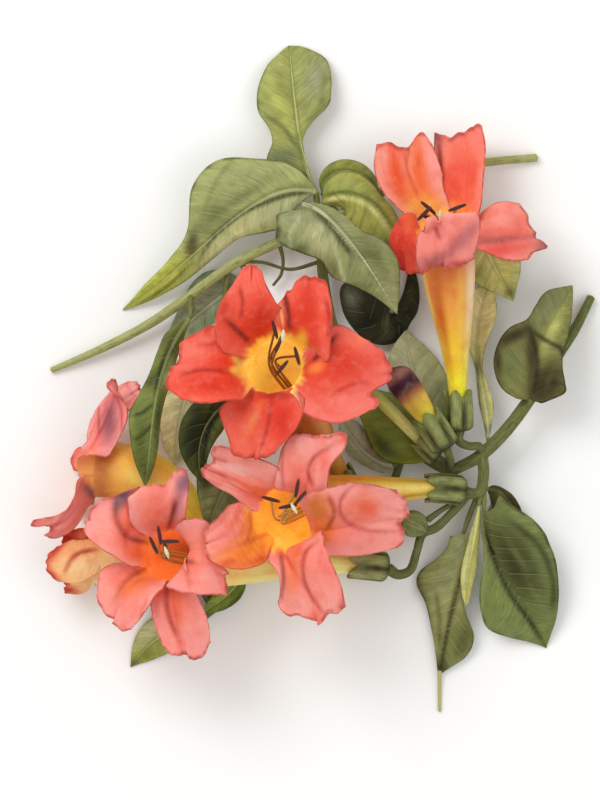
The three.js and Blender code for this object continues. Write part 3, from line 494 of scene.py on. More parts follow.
class Nodes:
    """A material's node tree with short calls for the nodes that the finishes use."""

    def __init__(self, name: str) -> None:
        """Makes an empty material with its output and shader."""
        self.material = bpy.data.materials.new(name)
        self.material.use_nodes = True
        self.tree = self.material.node_tree
        self.tree.nodes.clear()
        self.shader = self.tree.nodes.new("ShaderNodeBsdfPrincipled")
        output = self.tree.nodes.new("ShaderNodeOutputMaterial")
        self.tree.links.new(self.shader.outputs[0], output.inputs[0])

    def put(self, socket: Socket, value: object) -> None:
        """Links an output to a socket, or sets a plain value on it."""
        if isinstance(value, Socket):
            self.tree.links.new(value, socket)
        else:
            socket.default_value = value

    def value(self, name: str, output: str = "Fac") -> Socket:
        """A value or colour that the mesh carries."""
        node = self.tree.nodes.new("ShaderNodeAttribute")
        node.attribute_name = name
        return node.outputs[output]

    def place(self, output: str = "Object") -> Socket:
        """Coordinates on the object or its pattern map."""
        return self.tree.nodes.new("ShaderNodeTexCoord").outputs[output]

    def stretched(self, vector: Socket, scale: tuple[float, float, float]) -> Socket:
        """Coordinates scaled along each axis."""
        node = self.tree.nodes.new("ShaderNodeMapping")
        self.put(node.inputs["Vector"], vector)
        node.inputs["Scale"].default_value = scale
        return node.outputs[0]

    def swayed(self, vector: Socket, sway: Socket, size: float) -> Socket:
        """Coordinates pushed along all axes by sway, which is noise round a half."""
        push = self.maths("MULTIPLY", self.maths("SUBTRACT", sway, 0.5), size * 2)
        node = self.tree.nodes.new("ShaderNodeVectorMath")
        node.operation = "ADD"
        self.put(node.inputs[0], vector)
        self.put(node.inputs[1], push)
        return node.outputs[0]

    def maths(self, operation: str, *values: object) -> Socket:
        """One sum of a Math node."""
        node = self.tree.nodes.new("ShaderNodeMath")
        node.operation = operation
        for socket, value in zip(node.inputs, values):
            self.put(socket, value)
        return node.outputs[0]

    def noise(self, vector: Socket, scale: float, detail: float = 3.0) -> Socket:
        """Cloudy noise of 0 to 1."""
        node = self.tree.nodes.new("ShaderNodeTexNoise")
        self.put(node.inputs["Vector"], vector)
        node.inputs["Scale"].default_value = scale
        node.inputs["Detail"].default_value = detail
        return node.outputs[0]

    def net(self, vector: Socket, scale: float) -> Socket:
        """Distance to the nearest cell edge of a net."""
        node = self.tree.nodes.new("ShaderNodeTexVoronoi")
        node.feature = "DISTANCE_TO_EDGE"
        self.put(node.inputs["Vector"], vector)
        node.inputs["Scale"].default_value = scale
        return node.outputs[0]

    def ramp(
        self, value: Socket, low: float, high: float, start: float = 0.0, end: float = 1.0
    ) -> Socket:
        """Maps low..high to start..end with a smooth step, held at both ends."""
        node = self.tree.nodes.new("ShaderNodeMapRange")
        node.interpolation_type = "SMOOTHSTEP"
        self.put(node.inputs["Value"], value)
        for name, number in (("From Min", low), ("From Max", high), ("To Min", start), ("To Max", end)):
            node.inputs[name].default_value = number
        return node.outputs[0]

    def blend(self, share: object, under: object, over: object, kind: str = "MIX") -> Socket:
        """Two colours mixed by share."""
        node = self.tree.nodes.new("ShaderNodeMix")
        node.data_type = "RGBA"
        node.blend_type = kind
        self.put(node.inputs[0], share)
        self.put(node.inputs[6], under)
        self.put(node.inputs[7], over)
        return node.outputs[2]

    def layered(self, colour: Socket, layers: tuple[tuple, ...]) -> Socket:
        """Colour under layers, each given by a noise, its low, its high, a share and a colour."""
        for noise, low, high, share, over in layers:
            colour = self.blend(self.ramp(noise, low, high, 0, share), colour, over)
        return colour

    def skin(self, colour: Socket, grain: Socket, roughness: float, under: float, above: float) -> None:
        """Sets the colour, and the roughness, which grain moves down by under and up by above."""
        self.put(self.shader.inputs["Base Color"], colour)
        rough = self.ramp(grain, 0.3, 0.7, roughness - under, roughness + above)
        self.put(self.shader.inputs["Roughness"], rough)

    def relief(self, height: Socket, strength: float, distance: float) -> None:
        """Bump from a height, in metres of distance."""
        node = self.tree.nodes.new("ShaderNodeBump")
        node.inputs["Strength"].default_value = strength
        node.inputs["Distance"].default_value = distance
        self.put(node.inputs["Height"], height)
        self.put(self.shader.inputs["Normal"], node.outputs[0])


def rgba(colour: Colour) -> tuple[float, float, float, float]:
    """A linear colour with full cover."""
    return (*linear(colour), 1.0)


@dataclass(frozen=True)
class LeafFinish:
    """Satin leaf skin with a pale midrib, arched side veins, brushed streaks and a fine net."""

    vein: Colour = (196, 202, 158)
    dark: Colour = (34, 40, 16)
    warmth: tuple[float, float, float, float] = (1.05, 1.02, 0.88, 1.0)
    deeper: tuple[float, float, float, float] = (0.4, 0.41, 0.32, 1.0)
    lighter: tuple[float, float, float, float] = (1.6, 1.56, 1.45, 1.0)
    vein_share: float = 0.45
    streak_share: float = 0.4
    roughness: float = 0.52

    def material(self, name: str) -> Material:
        """Colour from the mesh's tint, with veins, streaks along them, net and relief, and painted shade
        beside the side veins and along the midrib.
        """
        n = Nodes(name)
        tint = n.value("tint", "Color")
        place = n.place()
        phase = n.maths("ABSOLUTE", n.maths("SUBTRACT", n.maths("FRACT", n.value("phase")), 0.5))
        inside = n.ramp(n.value("margin"), 0.4, 0.97, 1, 0)
        side = n.maths("MULTIPLY", n.ramp(phase, 0.01, 0.05, 1, 0), inside)
        shade = n.ramp(phase, 0.03, 0.22, 1, 0)
        rib = n.ramp(n.value("rib"), 0.45, 1.1, 1, 0)
        near_rib = n.ramp(n.value("rib"), 0.9, 3.2, 1, 0)
        midrib_shade = n.maths("MULTIPLY", near_rib, n.ramp(n.value("rib"), 0.6, 1.1))
        clouds = n.noise(place, 210, 5)
        bent = n.noise(place, 90, 2)
        flow = n.swayed(n.place("UV"), bent, 0.5)
        streaks = n.noise(n.stretched(flow, (3.4, 0.7, 1)), 2.2, 5)
        fine = n.noise(n.stretched(flow, (17.0, 2.4, 1)), 2.0, 4)
        net = n.net(place, 1100)
        tint = n.blend(1.0, tint, self.warmth, "MULTIPLY")
        deep = n.blend(1.0, tint, self.deeper, "MULTIPLY")
        pale = n.blend(1.0, tint, self.lighter, "MULTIPLY")
        layers = (
            (clouds, 0.42, 0.72, 0.35, deep),
            (streaks, 0.5, 0.78, self.streak_share, deep),
            (streaks, 0.5, 0.25, self.streak_share, pale),
            (fine, 0.52, 0.75, 0.3, deep),
            (fine, 0.48, 0.28, 0.3, pale),
        )
        colour = n.layered(tint, layers)
        # Painted shade beside the side veins, and along both sides of the midrib.
        colour = n.blend(n.maths("MULTIPLY", shade, 0.2), colour, deep)
        colour = n.blend(n.maths("MULTIPLY", midrib_shade, 0.5), colour, deep)
        colour = n.blend(n.maths("MULTIPLY", side, self.vein_share * 0.45), colour, rgba(self.vein))
        colour = n.blend(n.maths("MULTIPLY", rib, self.vein_share), colour, rgba(self.vein))
        at_margin = n.ramp(n.value("margin"), 0.92, 0.985)
        edge = n.maths("MULTIPLY", at_margin, n.ramp(clouds, 0.35, 0.6, 0.15, 0.7))
        colour = n.blend(edge, colour, rgba(self.dark))
        n.skin(colour, clouds, self.roughness, 0.08, 0.1)
        n.shader.inputs["Specular IOR Level"].default_value = 0.15
        height = n.maths("ADD", n.ramp(net, 0.0, 0.2, 0, 0.35), n.maths("MULTIPLY", shade, -0.6))
        height = n.maths("ADD", height, n.maths("MULTIPLY", fine, 0.7))
        n.relief(n.maths("ADD", height, n.maths("MULTIPLY", streaks, 0.8)), 0.4, 0.0003)
        return n.material


LEAF_FINISHES = {
    Slot.LEAF_LIGHT: LeafFinish(vein=(214, 216, 150), dark=(84, 92, 40), vein_share=0.4),
    Slot.LEAF_GREEN: LeafFinish(vein=(204, 206, 160), dark=(48, 54, 26), vein_share=0.4),
    Slot.LEAF_DEEP: LeafFinish(vein=(150, 160, 104), dark=(20, 26, 10), vein_share=0.5),
    Slot.LEAF_PALE: LeafFinish(vein=(212, 214, 186), dark=(96, 106, 76), vein_share=0.35),
    Slot.LEAF_BRONZE: LeafFinish(vein=(150, 148, 96), dark=(28, 24, 10), vein_share=0.25),
}


@dataclass(frozen=True)
class PetalFinish:
    """Soft petal skin with fine streaks that run to the margin, a darker rim line and painted light in the
    throat.
    """

    edge: Colour = (168, 58, 48)
    streak: Colour = (242, 172, 146)
    light: Colour = (255, 200, 180)
    painted_throat_light: float = 0.35
    roughness: float = 0.5

    def material(self, name: str) -> Material:
        """Colour from the mesh's tint, with streaks, mottling, rim line and relief.

        The throat carries painted light: it emits a little of its own colour, which brightens it where the
        tube shades it.
        """
        n = Nodes(name)
        tint = n.value("tint", "Color")
        place = n.place()
        streaks = n.noise(n.stretched(n.place("UV"), (34, 2.2, 1)), 2.4, 4)
        clouds = n.noise(place, 130, 4)
        mottle = n.noise(place, 340, 5)
        grain = n.noise(place, 1500, 2)
        deeper = n.blend(1.0, tint, rgba(self.streak), "MULTIPLY")
        layers = (
            (streaks, 0.45, 0.72, 0.3, deeper),
            (clouds, 0.46, 0.68, 0.4, deeper),
            (mottle, 0.46, 0.74, 0.1, rgba(self.light)),
            (grain, 0.35, 0.75, 0.15, deeper),
        )
        colour = n.layered(tint, layers)
        at_margin = n.ramp(n.value("margin"), 0.955, 0.99)
        line = n.maths("MULTIPLY", at_margin, n.ramp(mottle, 0.35, 0.6, 0.15, 0.75))
        colour = n.blend(line, colour, rgba(self.edge))
        n.skin(colour, mottle, self.roughness, 0.06, 0.12)
        n.shader.inputs["Specular IOR Level"].default_value = 0.15
        n.shader.inputs["Subsurface Weight"].default_value = 0.45
        n.shader.inputs["Subsurface Radius"].default_value = (1.0, 0.6, 0.3)
        n.shader.inputs["Subsurface Scale"].default_value = 0.0015
        # Painted light: the throat emits its own colour, so it stays bright where the deep tube would be in
        # shade.
        n.put(n.shader.inputs["Emission Color"], colour)
        n.put(n.shader.inputs["Emission Strength"], n.maths("MULTIPLY", n.value("painted_throat_light"), self.painted_throat_light))
        height = n.maths("ADD", n.maths("MULTIPLY", streaks, 0.9), n.maths("MULTIPLY", mottle, 0.5))
        n.relief(height, 0.3, 0.0003)
        return n.material


@dataclass(frozen=True)
class BarkFinish:
    """Young green bark and calyx skin with long streaks and flecks."""

    dark: Colour = (58, 62, 30)
    light: Colour = (168, 174, 116)
    roughness: float = 0.55

    def material(self, name: str) -> Material:
        """Colour from the mesh's tint, with streaks along the stalk and fine flecks."""
        n = Nodes(name)
        tint = n.value("tint", "Color")
        place = n.place()
        streaks = n.noise(n.stretched(n.place("UV"), (1.6, 0.12, 1)), 1.6, 4)
        clouds = n.noise(place, 420, 4)
        layers = (
            (streaks, 0.45, 0.7, 0.5, rgba(self.dark)),
            (streaks, 0.52, 0.3, 0.3, rgba(self.light)),
            (clouds, 0.5, 0.75, 0.35, rgba(self.dark)),
        )
        n.skin(n.layered(tint, layers), clouds, self.roughness, 0.1, 0.12)
        n.shader.inputs["Specular IOR Level"].default_value = 0.18
        n.relief(n.maths("ADD", streaks, n.maths("MULTIPLY", clouds, 0.5)), 0.4, 0.0003)
        return n.material


@dataclass(frozen=True)
class StamenFinish:
    """Smooth filaments and mealy anthers."""

    roughness: float = 0.45

    def material(self, name: str) -> Material:
        """Colour from the mesh's tint with a fine grain."""
        n = Nodes(name)
        tint = n.value("tint", "Color")
        grain = n.noise(n.place(), 1600, 3)
        dark = n.blend(1.0, tint, (0.45, 0.4, 0.38, 1.0), "MULTIPLY")
        colour = n.layered(tint, ((grain, 0.4, 0.7, 0.5, dark),))
        n.skin(colour, grain, self.roughness, 0.1, 0.2)
        n.relief(grain, 0.3, 0.0002)
        return n.material


@dataclass(frozen=True)
class Leaf:
    """One leaf blade along a curve.

    left and right are half widths at equal steps as seen along the blade. fold lifts both
    sides from the midrib, roll turns the blade about it at base and tip, ears draw the
    sides back at the base, curl bends the margins down, and wave ruffles them by an
    amount, a count and a phase.
    """

    name: str
    slot: Slot
    base: Place
    lead: Place
    turn: Place
    tip: Place
    left: tuple[float, ...]
    right: tuple[float, ...]
    tone: Colour
    start: Place
    fold: float = 0.0
    roll: tuple[float, float] = (0.0, 0.0)
    ears: tuple[float, float] = (0.0, 0.0)
    curl: float = 0.1
    wave: tuple[float, float, float] = (0.5, 2.0, 0.0)
    under: Colour = (158, 166, 132)
    washes: tuple[Wash, ...] = ()
    veins: int = 8
    rows: int = 84
    columns: int = 40
    tendril: Run = ()
    blunt: float = 0.045
    humps: tuple[Hump, ...] = ()
    paint: tuple[Paint, ...] = ()
    midrib: float = 1.0

    def blade(self) -> Surface:
        """The blade as a thin sheet.

        Its middle surface is the curve plus v times the half width to the side, lifted by
        fold, bent down by curl times v², ruffled by a sine along the margin, and quilted
        between the side veins by the distance to the nearest vein.
        """
        u = np.linspace(0, 1, self.rows + 1)
        v = np.linspace(-1, 1, self.columns + 1)
        v = np.sign(v) * np.abs(v) ** 0.9
        centre, ahead = bezier(at([self.base, self.lead, self.turn, self.tip]), u)
        length = np.sum(np.linalg.norm(np.diff(centre, axis=0), axis=1))
        side = unit(np.cross([0.0, 0.0, 1.0], ahead))
        side = turned(side, ahead, np.radians(mix(self.roll[0], self.roll[1], smooth(u))))
        normal = np.cross(ahead, side)
        grid_u, grid_v = np.meshgrid(u, v, indexing="ij")
        is_left = grid_v > 0
        seed = sum(map(ord, self.name))
        width = np.where(is_left, sample(self.left, u)[:, None], sample(self.right, u)[:, None])
        ending = (1 - (1 - grid_u) / self.blunt).clip(0)
        width = np.maximum(width * np.sqrt(np.clip(1 - ending**2, 0, 1)), 0.04)
        half = max(*self.left, *self.right)
        reach = np.abs(grid_v) * width
        amount, count, phase = self.wave
        turn_phase = np.where(is_left, 0, 1.7)
        ripple = amount * np.sin(2 * np.pi * (count * grid_u + phase) + turn_phase)
        quick = 2 * np.pi * (2.7 * count * grid_u + 2 * phase) + 2 * turn_phase
        ripple = ripple + 0.35 * amount * np.sin(quick)
        droop = self.curl * width - ripple * width / half
        vein = grid_u * self.veins - VEIN_SLOPE * reach / length * self.veins
        vein = vein + np.where(is_left, 0.0, VEIN_STAGGER)
        nearest = np.abs(vein - np.floor(vein) - 0.5)
        quilt = QUILT_DEPTH * smooth(nearest / 0.35) * smooth(reach / 2.5)
        quilt = quilt * smooth((1 - np.abs(grid_v)) / 0.25)
        pucker = 0.25 * wobble(grid_u * 0.8, grid_v * 0.5, seed) * smooth(reach / 3)
        pucker = pucker + sum(hump.lift(grid_u, grid_v) for hump in self.humps)
        ear = np.where(is_left, *self.ears) * smooth(1 - grid_u / 0.45) * np.minimum(width / half / 0.3, 1)
        fold = np.radians(self.fold)
        groove = GROOVE_DEPTH * bump(reach, 0, 0.7)
        points = (
            centre[:, None]
            + side[:, None] * (np.sign(grid_v) * reach * np.cos(fold))[..., None]
            + normal[:, None]
            * (reach * np.sin(fold) - droop * grid_v**2 + quilt + pucker - groove)[..., None]
            - ahead[:, None] * (ear * grid_v**4)[..., None]
        )
        points = points - normal[:, None] * sunk_by(self.paint, points)
        index = np.arange(grid_u.size).reshape(grid_u.shape)
        rib = np.maximum(0.9 * (1 - 0.8 * u), 0.16)[:, None]
        thick = LEAF_THICK * (1 - 0.45 * grid_v**2) + 0.5 * bump(reach, 0, 0.8) * (1 - 0.7 * grid_u)
        both, faces = thickened(points.reshape(-1, 3), grid_faces(index), (thick / 2).ravel())
        tint = np.broadcast_to(linear(self.tone), (*grid_u.shape, 3))
        for wash in self.washes:
            tint = wash.over(tint, grid_u, grid_v)
        for paint in self.paint:
            tint = paint.over(tint, points)
        lower = mix(tint, linear(self.under), 0.55)
        edge = np.maximum(np.abs(grid_v), np.maximum(grid_u - 0.02, 0.5))
        values = {
            "phase": vein,
            "margin": np.where(edge > np.abs(grid_v), np.maximum(np.abs(grid_v), edge**3), np.abs(grid_v)),
            "rib": reach / rib + 3 * (1 - self.midrib),
        }
        uv = np.stack([vein, grid_v], -1).reshape(-1, 2)
        return Surface(
            both,
            faces,
            np.concatenate([tint.reshape(-1, 3), lower.reshape(-1, 3)]),
            np.concatenate([uv, uv]),
            {k: np.concatenate([x.ravel(), x.ravel()]) for k, x in values.items()},
        )

    def surface(self) -> Surface:
        """The blade, with the tendril that grows on at its tip if it has one."""
        blade = self.blade()
        if not self.tendril:
            return blade
        share = np.linspace(0, 1, 40)
        places = np.array(self.tendril)
        centres = through(at(places[:, :3]), share)
        thread = tube_surface(centres, sample(places[:, 3], share), 10, linear((170, 165, 90)))
        thread.values = {k: np.full(len(thread.points), 0.5) for k in blade.values}
        return Surface.merged([blade, thread])

    def petiole(self) -> Surface:
        """The leaf stalk: a bent run from the branch to the foot of the blade."""
        start, end = at(self.start), at(self.base)
        ahead = unit(at(self.lead) - end)
        end = end - 0.1 * ahead
        middle = mix(start, end, 0.6) - 0.08 * np.linalg.norm(end - start) * ahead
        t = np.linspace(0, 1, 26)[:, None]
        centres = (1 - t) ** 2 * start + 2 * t * (1 - t) * middle + t * t * end
        radii = PETIOLE_RADIUS * (1 - 0.35 * smooth((t[:, 0] - 0.6) / 0.4))
        return tube_surface(centres, radii, 14, linear(PETIOLE_TONE), (3, 0.06))


@dataclass(frozen=True)
class Lobe:
    """One lobe of a corolla.

    It bends over knee to tip. left and right are half widths at equal steps after the
    root, rim is how far its end stands out from the right corner to the left one, roll
    turns it about its midline at root and tip, cup bends its margins inwards, and ruffle
    waves its margin by an amount, a count and a phase. crease is the depth, place and
    spread of the furrow along it, and reach is how far the throat's colour runs out on it.
    """

    knee: Place
    tip: Place
    left: tuple[float, ...]
    right: tuple[float, ...]
    rim: tuple[float, ...]
    cup: float
    roll: tuple[float, float] = (0.0, 0.0)
    ruffle: tuple[float, float, float] = (0.8, 3.0, 0.0)
    crease: tuple[float, float, float] = (0.5, 0.0, 0.16)
    reach: float = 1.0
    centre: Colour | None = None
    margin: Colour | None = None
    washes: tuple[Wash, ...] = ()
    humps: tuple[Hump, ...] = ()
    paint: tuple[Paint, ...] = ()


@dataclass(frozen=True)
class Flower:
    """What a flower and a bud share: a tube on a curved axis that stands in a calyx.

    seat is the foot of the calyx, and lead and turn steer the tube to mouth.
    """

    name: str
    slot: Slot
    seat: Place
    lead: Place
    turn: Place
    mouth: Place
    size: float = 1.0
    spin: float = 0.0
    calyx_tone: Colour = (124, 132, 72)

    def radius(self, share: Array) -> Array:
        """The tube's outer radius at shares of the way from its foot."""
        raise NotImplementedError

    def facing(self) -> Array | None:
        """The place that the first direction of the frames points at, or None for upwards."""
        return None

    def axis(self, shares: Array) -> tuple[Array, Array, Array, Array, float]:
        """Middle line of the tube with frames that are carried back from the mouth.

        Args:
            shares: where on the line, as shares of its length, rising to 1.

        Returns:
            Centres, tangents, first and second directions, and the line's length.
        """
        rise = unit(at(self.lead) - at(self.seat))
        foot = at(self.seat) + rise * CALYX_FLOOR
        ends = np.array([foot, at(self.lead), at(self.turn), at(self.mouth)])
        t = np.linspace(0, 1, AXIS_STEPS)
        line, _ = bezier(ends, t)
        run = np.concatenate([[0], np.cumsum(np.linalg.norm(np.diff(line, axis=0), axis=1))])
        where = np.interp(np.clip(shares, 0, 1) * run[-1], run, t)
        centres, aheads = bezier(ends, where)
        aim = bezier(ends, np.array([1.0]))[1][0]
        target = self.facing()
        face = target - at(self.mouth) if target is not None else np.array([0.0, 0.0, 1.0])
        first = turned(unit(face - aim * (face @ aim)), aim, np.radians(self.spin))
        fine = bezier(ends, t[::-1])[1]
        carried_back = carried(first, fine)[::-1]
        side = np.stack([np.interp(where, t, carried_back[:, k]) for k in range(3)], -1)
        side = unit(side - aheads * np.sum(aheads * side, -1, keepdims=True))
        below = np.minimum(shares, 0)[:, None] * run[-1] * rise
        return centres + below, aheads, side, np.cross(aheads, side), run[-1]

    def calyx(self) -> Surface:
        """A ribbed cup with five teeth round the foot of the tube.

        Rows go up the outside, over the toothed rim and down the inside. The radius
        follows the tube plus some air, and five ribs swell it by a share of its size.
        """
        size = self.size
        length = self.axis(np.array([0.0, 1.0]))[4]
        top = (CALYX_LENGTH - CALYX_FLOOR) * size
        bottom = -CALYX_FLOOR - SUNK
        up = np.linspace(0, 1, CALYX_ROWS_OUTSIDE)
        down = np.linspace(0, 1, CALYX_ROWS_INSIDE)
        heights = np.concatenate([bottom + (top - bottom) * up, top + (-0.2 - top) * down])
        outside = np.arange(len(heights)) < len(up)
        inner = self.radius(np.clip(heights / length, 0, 1)) + CALYX_PLAY
        foot = np.sqrt(np.clip(1 - (1 - (heights - bottom) / (2.6 * size)).clip(0) ** 2, 0, 1))
        reach = np.where(outside, mix(1.7 * size, inner + CALYX_WALL, foot), inner)
        sides = CALYX_SIDES
        angle = np.linspace(0, 2 * np.pi, sides, endpoint=False)
        centres, aheads, first, second, _ = self.axis(heights / length)
        peak = np.abs(np.cos(2.5 * angle)) ** 1.4
        near_top = smooth((heights / top - 0.45) / 0.55)
        swell = 0.26 * np.abs(np.cos(2.5 * angle)) ** 0.7 - 0.15
        fade = smooth((heights - bottom)[:, None] / 1.5) * (1 - 0.7 * near_top[:, None])
        rib = 1 + swell * fade * outside[:, None]
        skin = (
            centres[:, None]
            + (reach[:, None] * rib)[..., None] * outwards(first, second, angle)
            + aheads[:, None] * (near_top[:, None] * (peak * 2.0 - 1.0) * CALYX_TOOTH * size)[..., None]
        )
        rows = len(heights)
        points = np.concatenate([skin.reshape(-1, 3), centres[[0, -1]]])
        points[:, 2] = np.maximum(points[:, 2], FLOOR_GAP)
        u = np.broadcast_to(((heights - bottom) / (top - bottom))[:, None], (rows, sides))
        v = np.broadcast_to(np.cos(5 * angle)[None], (rows, sides))
        tint = np.broadcast_to(linear(self.calyx_tone), (rows, sides, 3))
        # Painted shade in the grooves between the ribs, a painted highlight on the rib tops, and painted
        # shadow round the foot of the cup.
        tint = Wash((36, 34, 16), 0.3, -1.0, 0.5, 0.5, 0.9).over(tint, u, v)
        tint = Wash((158, 164, 104), 0.6, 1.0, 0.35, 0.7, 0.6).over(tint, u, v)
        tint = Wash((38, 32, 18), 0.0, 0.0, 0.12, 9.0, 0.85).over(tint, u, v)
        tint = np.concatenate([tint.reshape(-1, 3), tint[[0, -1], 0]])
        uv = np.stack([np.abs(np.sin(angle / 2))[None] * 12 + 0 * u, u * 12], -1).reshape(-1, 2)
        uv = np.concatenate([uv, [[0, 0], [0, 0]]])
        return Surface(points, ring_faces(rows, sides), tint, uv)


@dataclass(frozen=True)
class Bloom(Flower):
    """An open flower: a widening tube with five lobes, four stamens and a style.

    Lobes go counterclockwise as seen from in front of the mouth.
    """

    mouth_radius: float = 10.0
    lobes: tuple[Lobe, ...] = ()
    anthers: Run = ()
    stigma: tuple[float, float, float, float] = (0, 0, 0, 0)
    throat: Colour = (250, 190, 60)
    deep: Colour = (190, 110, 40)
    centre: Colour = (240, 105, 75)
    margin: Colour = (248, 140, 128)
    outside: Colour = (236, 130, 112)
    tube: tuple[Colour, ...] = ((252, 226, 70), (236, 160, 60), (226, 140, 70))
    throat_reach: float = 0.2
    filament: tuple[Colour, Colour] = ((236, 208, 120), (196, 150, 70))
    anther_tone: Colour = (74, 24, 22)
    tube_washes: tuple[Wash, ...] = ()
    throat_washes: tuple[Wash, ...] = ()
    tube_rows: int = 44
    lobe_rows: int = 56
    sector: int = 40

    def radius(self, share: Array) -> Array:
        """Foot radius to mouth radius with a smooth swell between 12 % and 90 % of the way."""
        return mix(TUBE_FOOT_RADIUS, self.mouth_radius, smooth((share - 0.12) / 0.78))

    def facing(self) -> Array:
        """The first lobe's tip."""
        return at(self.lobes[0].tip)

    def lobe_grid(self, shape: Lobe, number: int, mouth: tuple[Array, Array, Array, Array]) -> Array:
        """Middle surface of a lobe from its root row to its end.

        Rows follow a Bezier line over the knee to the tip. Across them a point goes to
        the side by its share of the half width, inwards by cup, and along by rim. The
        margin is ruffled by a sine round it, and the middle is creased by a bell. Near the
        root each side laps over or under its neighbour by a bell.
        """
        centre, aim, first, second = mouth
        radius = self.mouth_radius - WALL_INSET
        angle = number * FIFTH
        out = first * np.cos(angle) + second * np.sin(angle)
        along = second * np.cos(angle) - first * np.sin(angle)
        root = centre + out * radius
        start = root + aim * np.linalg.norm(root - at(shape.knee)) * 0.5
        t = np.linspace(0, 1, self.lobe_rows + 1)[1:]
        a = np.linspace(-1, 1, self.sector + 1)
        line, ahead = bezier(np.array([root, start, at(shape.knee), at(shape.tip)]), t)
        side = unit(along - ahead * np.sum(ahead * along, -1, keepdims=True))
        side = turned(side, ahead, np.radians(mix(shape.roll[0], shape.roll[1], t)))
        inward = np.cross(ahead, side)
        root_half = radius * np.sin(FIFTH / 2)
        gt, ga = np.meshgrid(t, a, indexing="ij")
        half = np.where(
            ga > 0,
            sample((root_half, *shape.left), t)[:, None],
            sample((root_half, *shape.right), t)[:, None],
        )
        corner = 1 - 0.08 * smooth((gt - 0.8) / 0.2) ** 2
        opened = smooth(gt / 0.35)
        there = ga * FIFTH / 2
        across = mix(radius * np.sin(there), ga * half * corner, opened)
        lift = mix(radius * (1 - np.cos(there)), shape.cup * half * ga**2, opened)
        edge = sample(shape.rim, (ga + 1) / 2) * smooth((gt - 0.35) / 0.65)
        edge = edge - 0.8 * np.abs(ga) ** 6 * smooth((gt - 0.6) / 0.4)
        amount, count, phase = shape.ruffle
        round_edge = np.arctan2(ga, 1.15 - gt)
        near_edge = np.maximum(np.abs(ga) ** 3 * smooth(gt / 0.5), smooth((gt - 0.7) / 0.3) * gt**3)
        quick = 0.45 * amount * np.sin(2.3 * count * round_edge + 2 * phase)
        wave = amount * np.sin(count * round_edge + phase) + quick
        depth, where, spread = shape.crease
        crease = depth * bump(ga, where, spread) * smooth(gt / 0.3) * (1 - 0.6 * gt)
        crease = crease - sum(hump.lift(gt, ga) for hump in shape.humps) * smooth(gt / 0.2)
        pucker = 0.5 * wobble(gt * 0.9, ga * 0.6, 7 * number + len(self.name)) * smooth(gt / 0.4)
        sway = 0.3 * amount * np.sin(3.1 * count * gt + phase)
        across = across + sway * np.sign(ga) * np.abs(ga) ** 3 * opened
        lift = lift + wave * near_edge - crease + pucker
        edge = edge + 0.35 * amount * np.sin(4.3 * ga * count + phase) * smooth((gt - 0.6) / 0.4)
        lap = smooth(gt / 0.08) * bump(gt, 0.12, 0.16) * np.abs(ga) ** 3
        points = (
            line[:, None]
            + side[:, None] * (across + LAP_ASIDE * lap * np.sign(ga))[..., None]
            + inward[:, None] * (lift + LAP_INWARD * lap * np.sign(ga))[..., None]
            + ahead[:, None] * edge[..., None]
        )
        return points - inward[:, None] * sunk_by(shape.paint, points)

    def corolla(self) -> Surface:
        """The tube and its lobes as one thin sheet with an inner and an outer face."""
        shares = np.linspace(0, 1, self.tube_rows + 1)
        centres, aheads, first, second, _ = self.axis(shares)
        sides = 5 * self.sector
        angle = 2 * np.pi * np.arange(sides) / sides - FIFTH / 2
        ribs = 1 + 0.018 * np.cos(10 * angle)[None] * smooth(shares / 0.4)[:, None]
        flute = 1 - 0.03 * (1 - np.abs(np.cos(2.5 * angle)))[None] * smooth((shares - 0.45) / 0.5)[:, None]
        plain = smooth((shares - 0.85) / 0.15)[:, None]
        reach = (self.radius(shares) - WALL_INSET)[:, None] * mix(ribs * flute, 1.0, plain)
        ring = outwards(first, second, angle)
        wall = centres[:, None] + reach[..., None] * ring
        mouth = (centres[-1], aheads[-1], first[-1], second[-1])
        lobes = [self.lobe_grid(shape, n, mouth) for n, shape in enumerate(self.lobes)]
        points = np.concatenate([wall.reshape(-1, 3)] + [lobe.reshape(-1, 3) for lobe in lobes])
        index = np.arange(wall.shape[0] * sides).reshape(-1, sides)
        index = np.concatenate([index, index[:, :1]], 1)
        faces = [grid_faces(index)]
        start = index.size - len(index)
        for n, lobe in enumerate(lobes):
            own = start + np.arange(lobe.shape[0] * lobe.shape[1]).reshape(lobe.shape[:2])
            root = index[-1, n * self.sector : (n + 1) * self.sector + 1]
            faces.append(grid_faces(np.concatenate([root[None], own])))
            start += own.size
        faces = np.concatenate(faces)
        both, all_faces = thickened(points, faces, np.full(len(points), PETAL_THICK / 2))
        left = unit(np.cross([0.0, 0.0, 1.0], aheads))
        inner, outer, margin, painted_throat_light, uv = self.colours(shares, angle, np.sum(ring * left[:, None], -1), lobes)
        values = {"margin": np.concatenate([margin, margin]), "painted_throat_light": np.concatenate([painted_throat_light, 0 * painted_throat_light])}
        return Surface(both, all_faces, np.concatenate([inner, outer]), np.concatenate([uv, uv]), values)

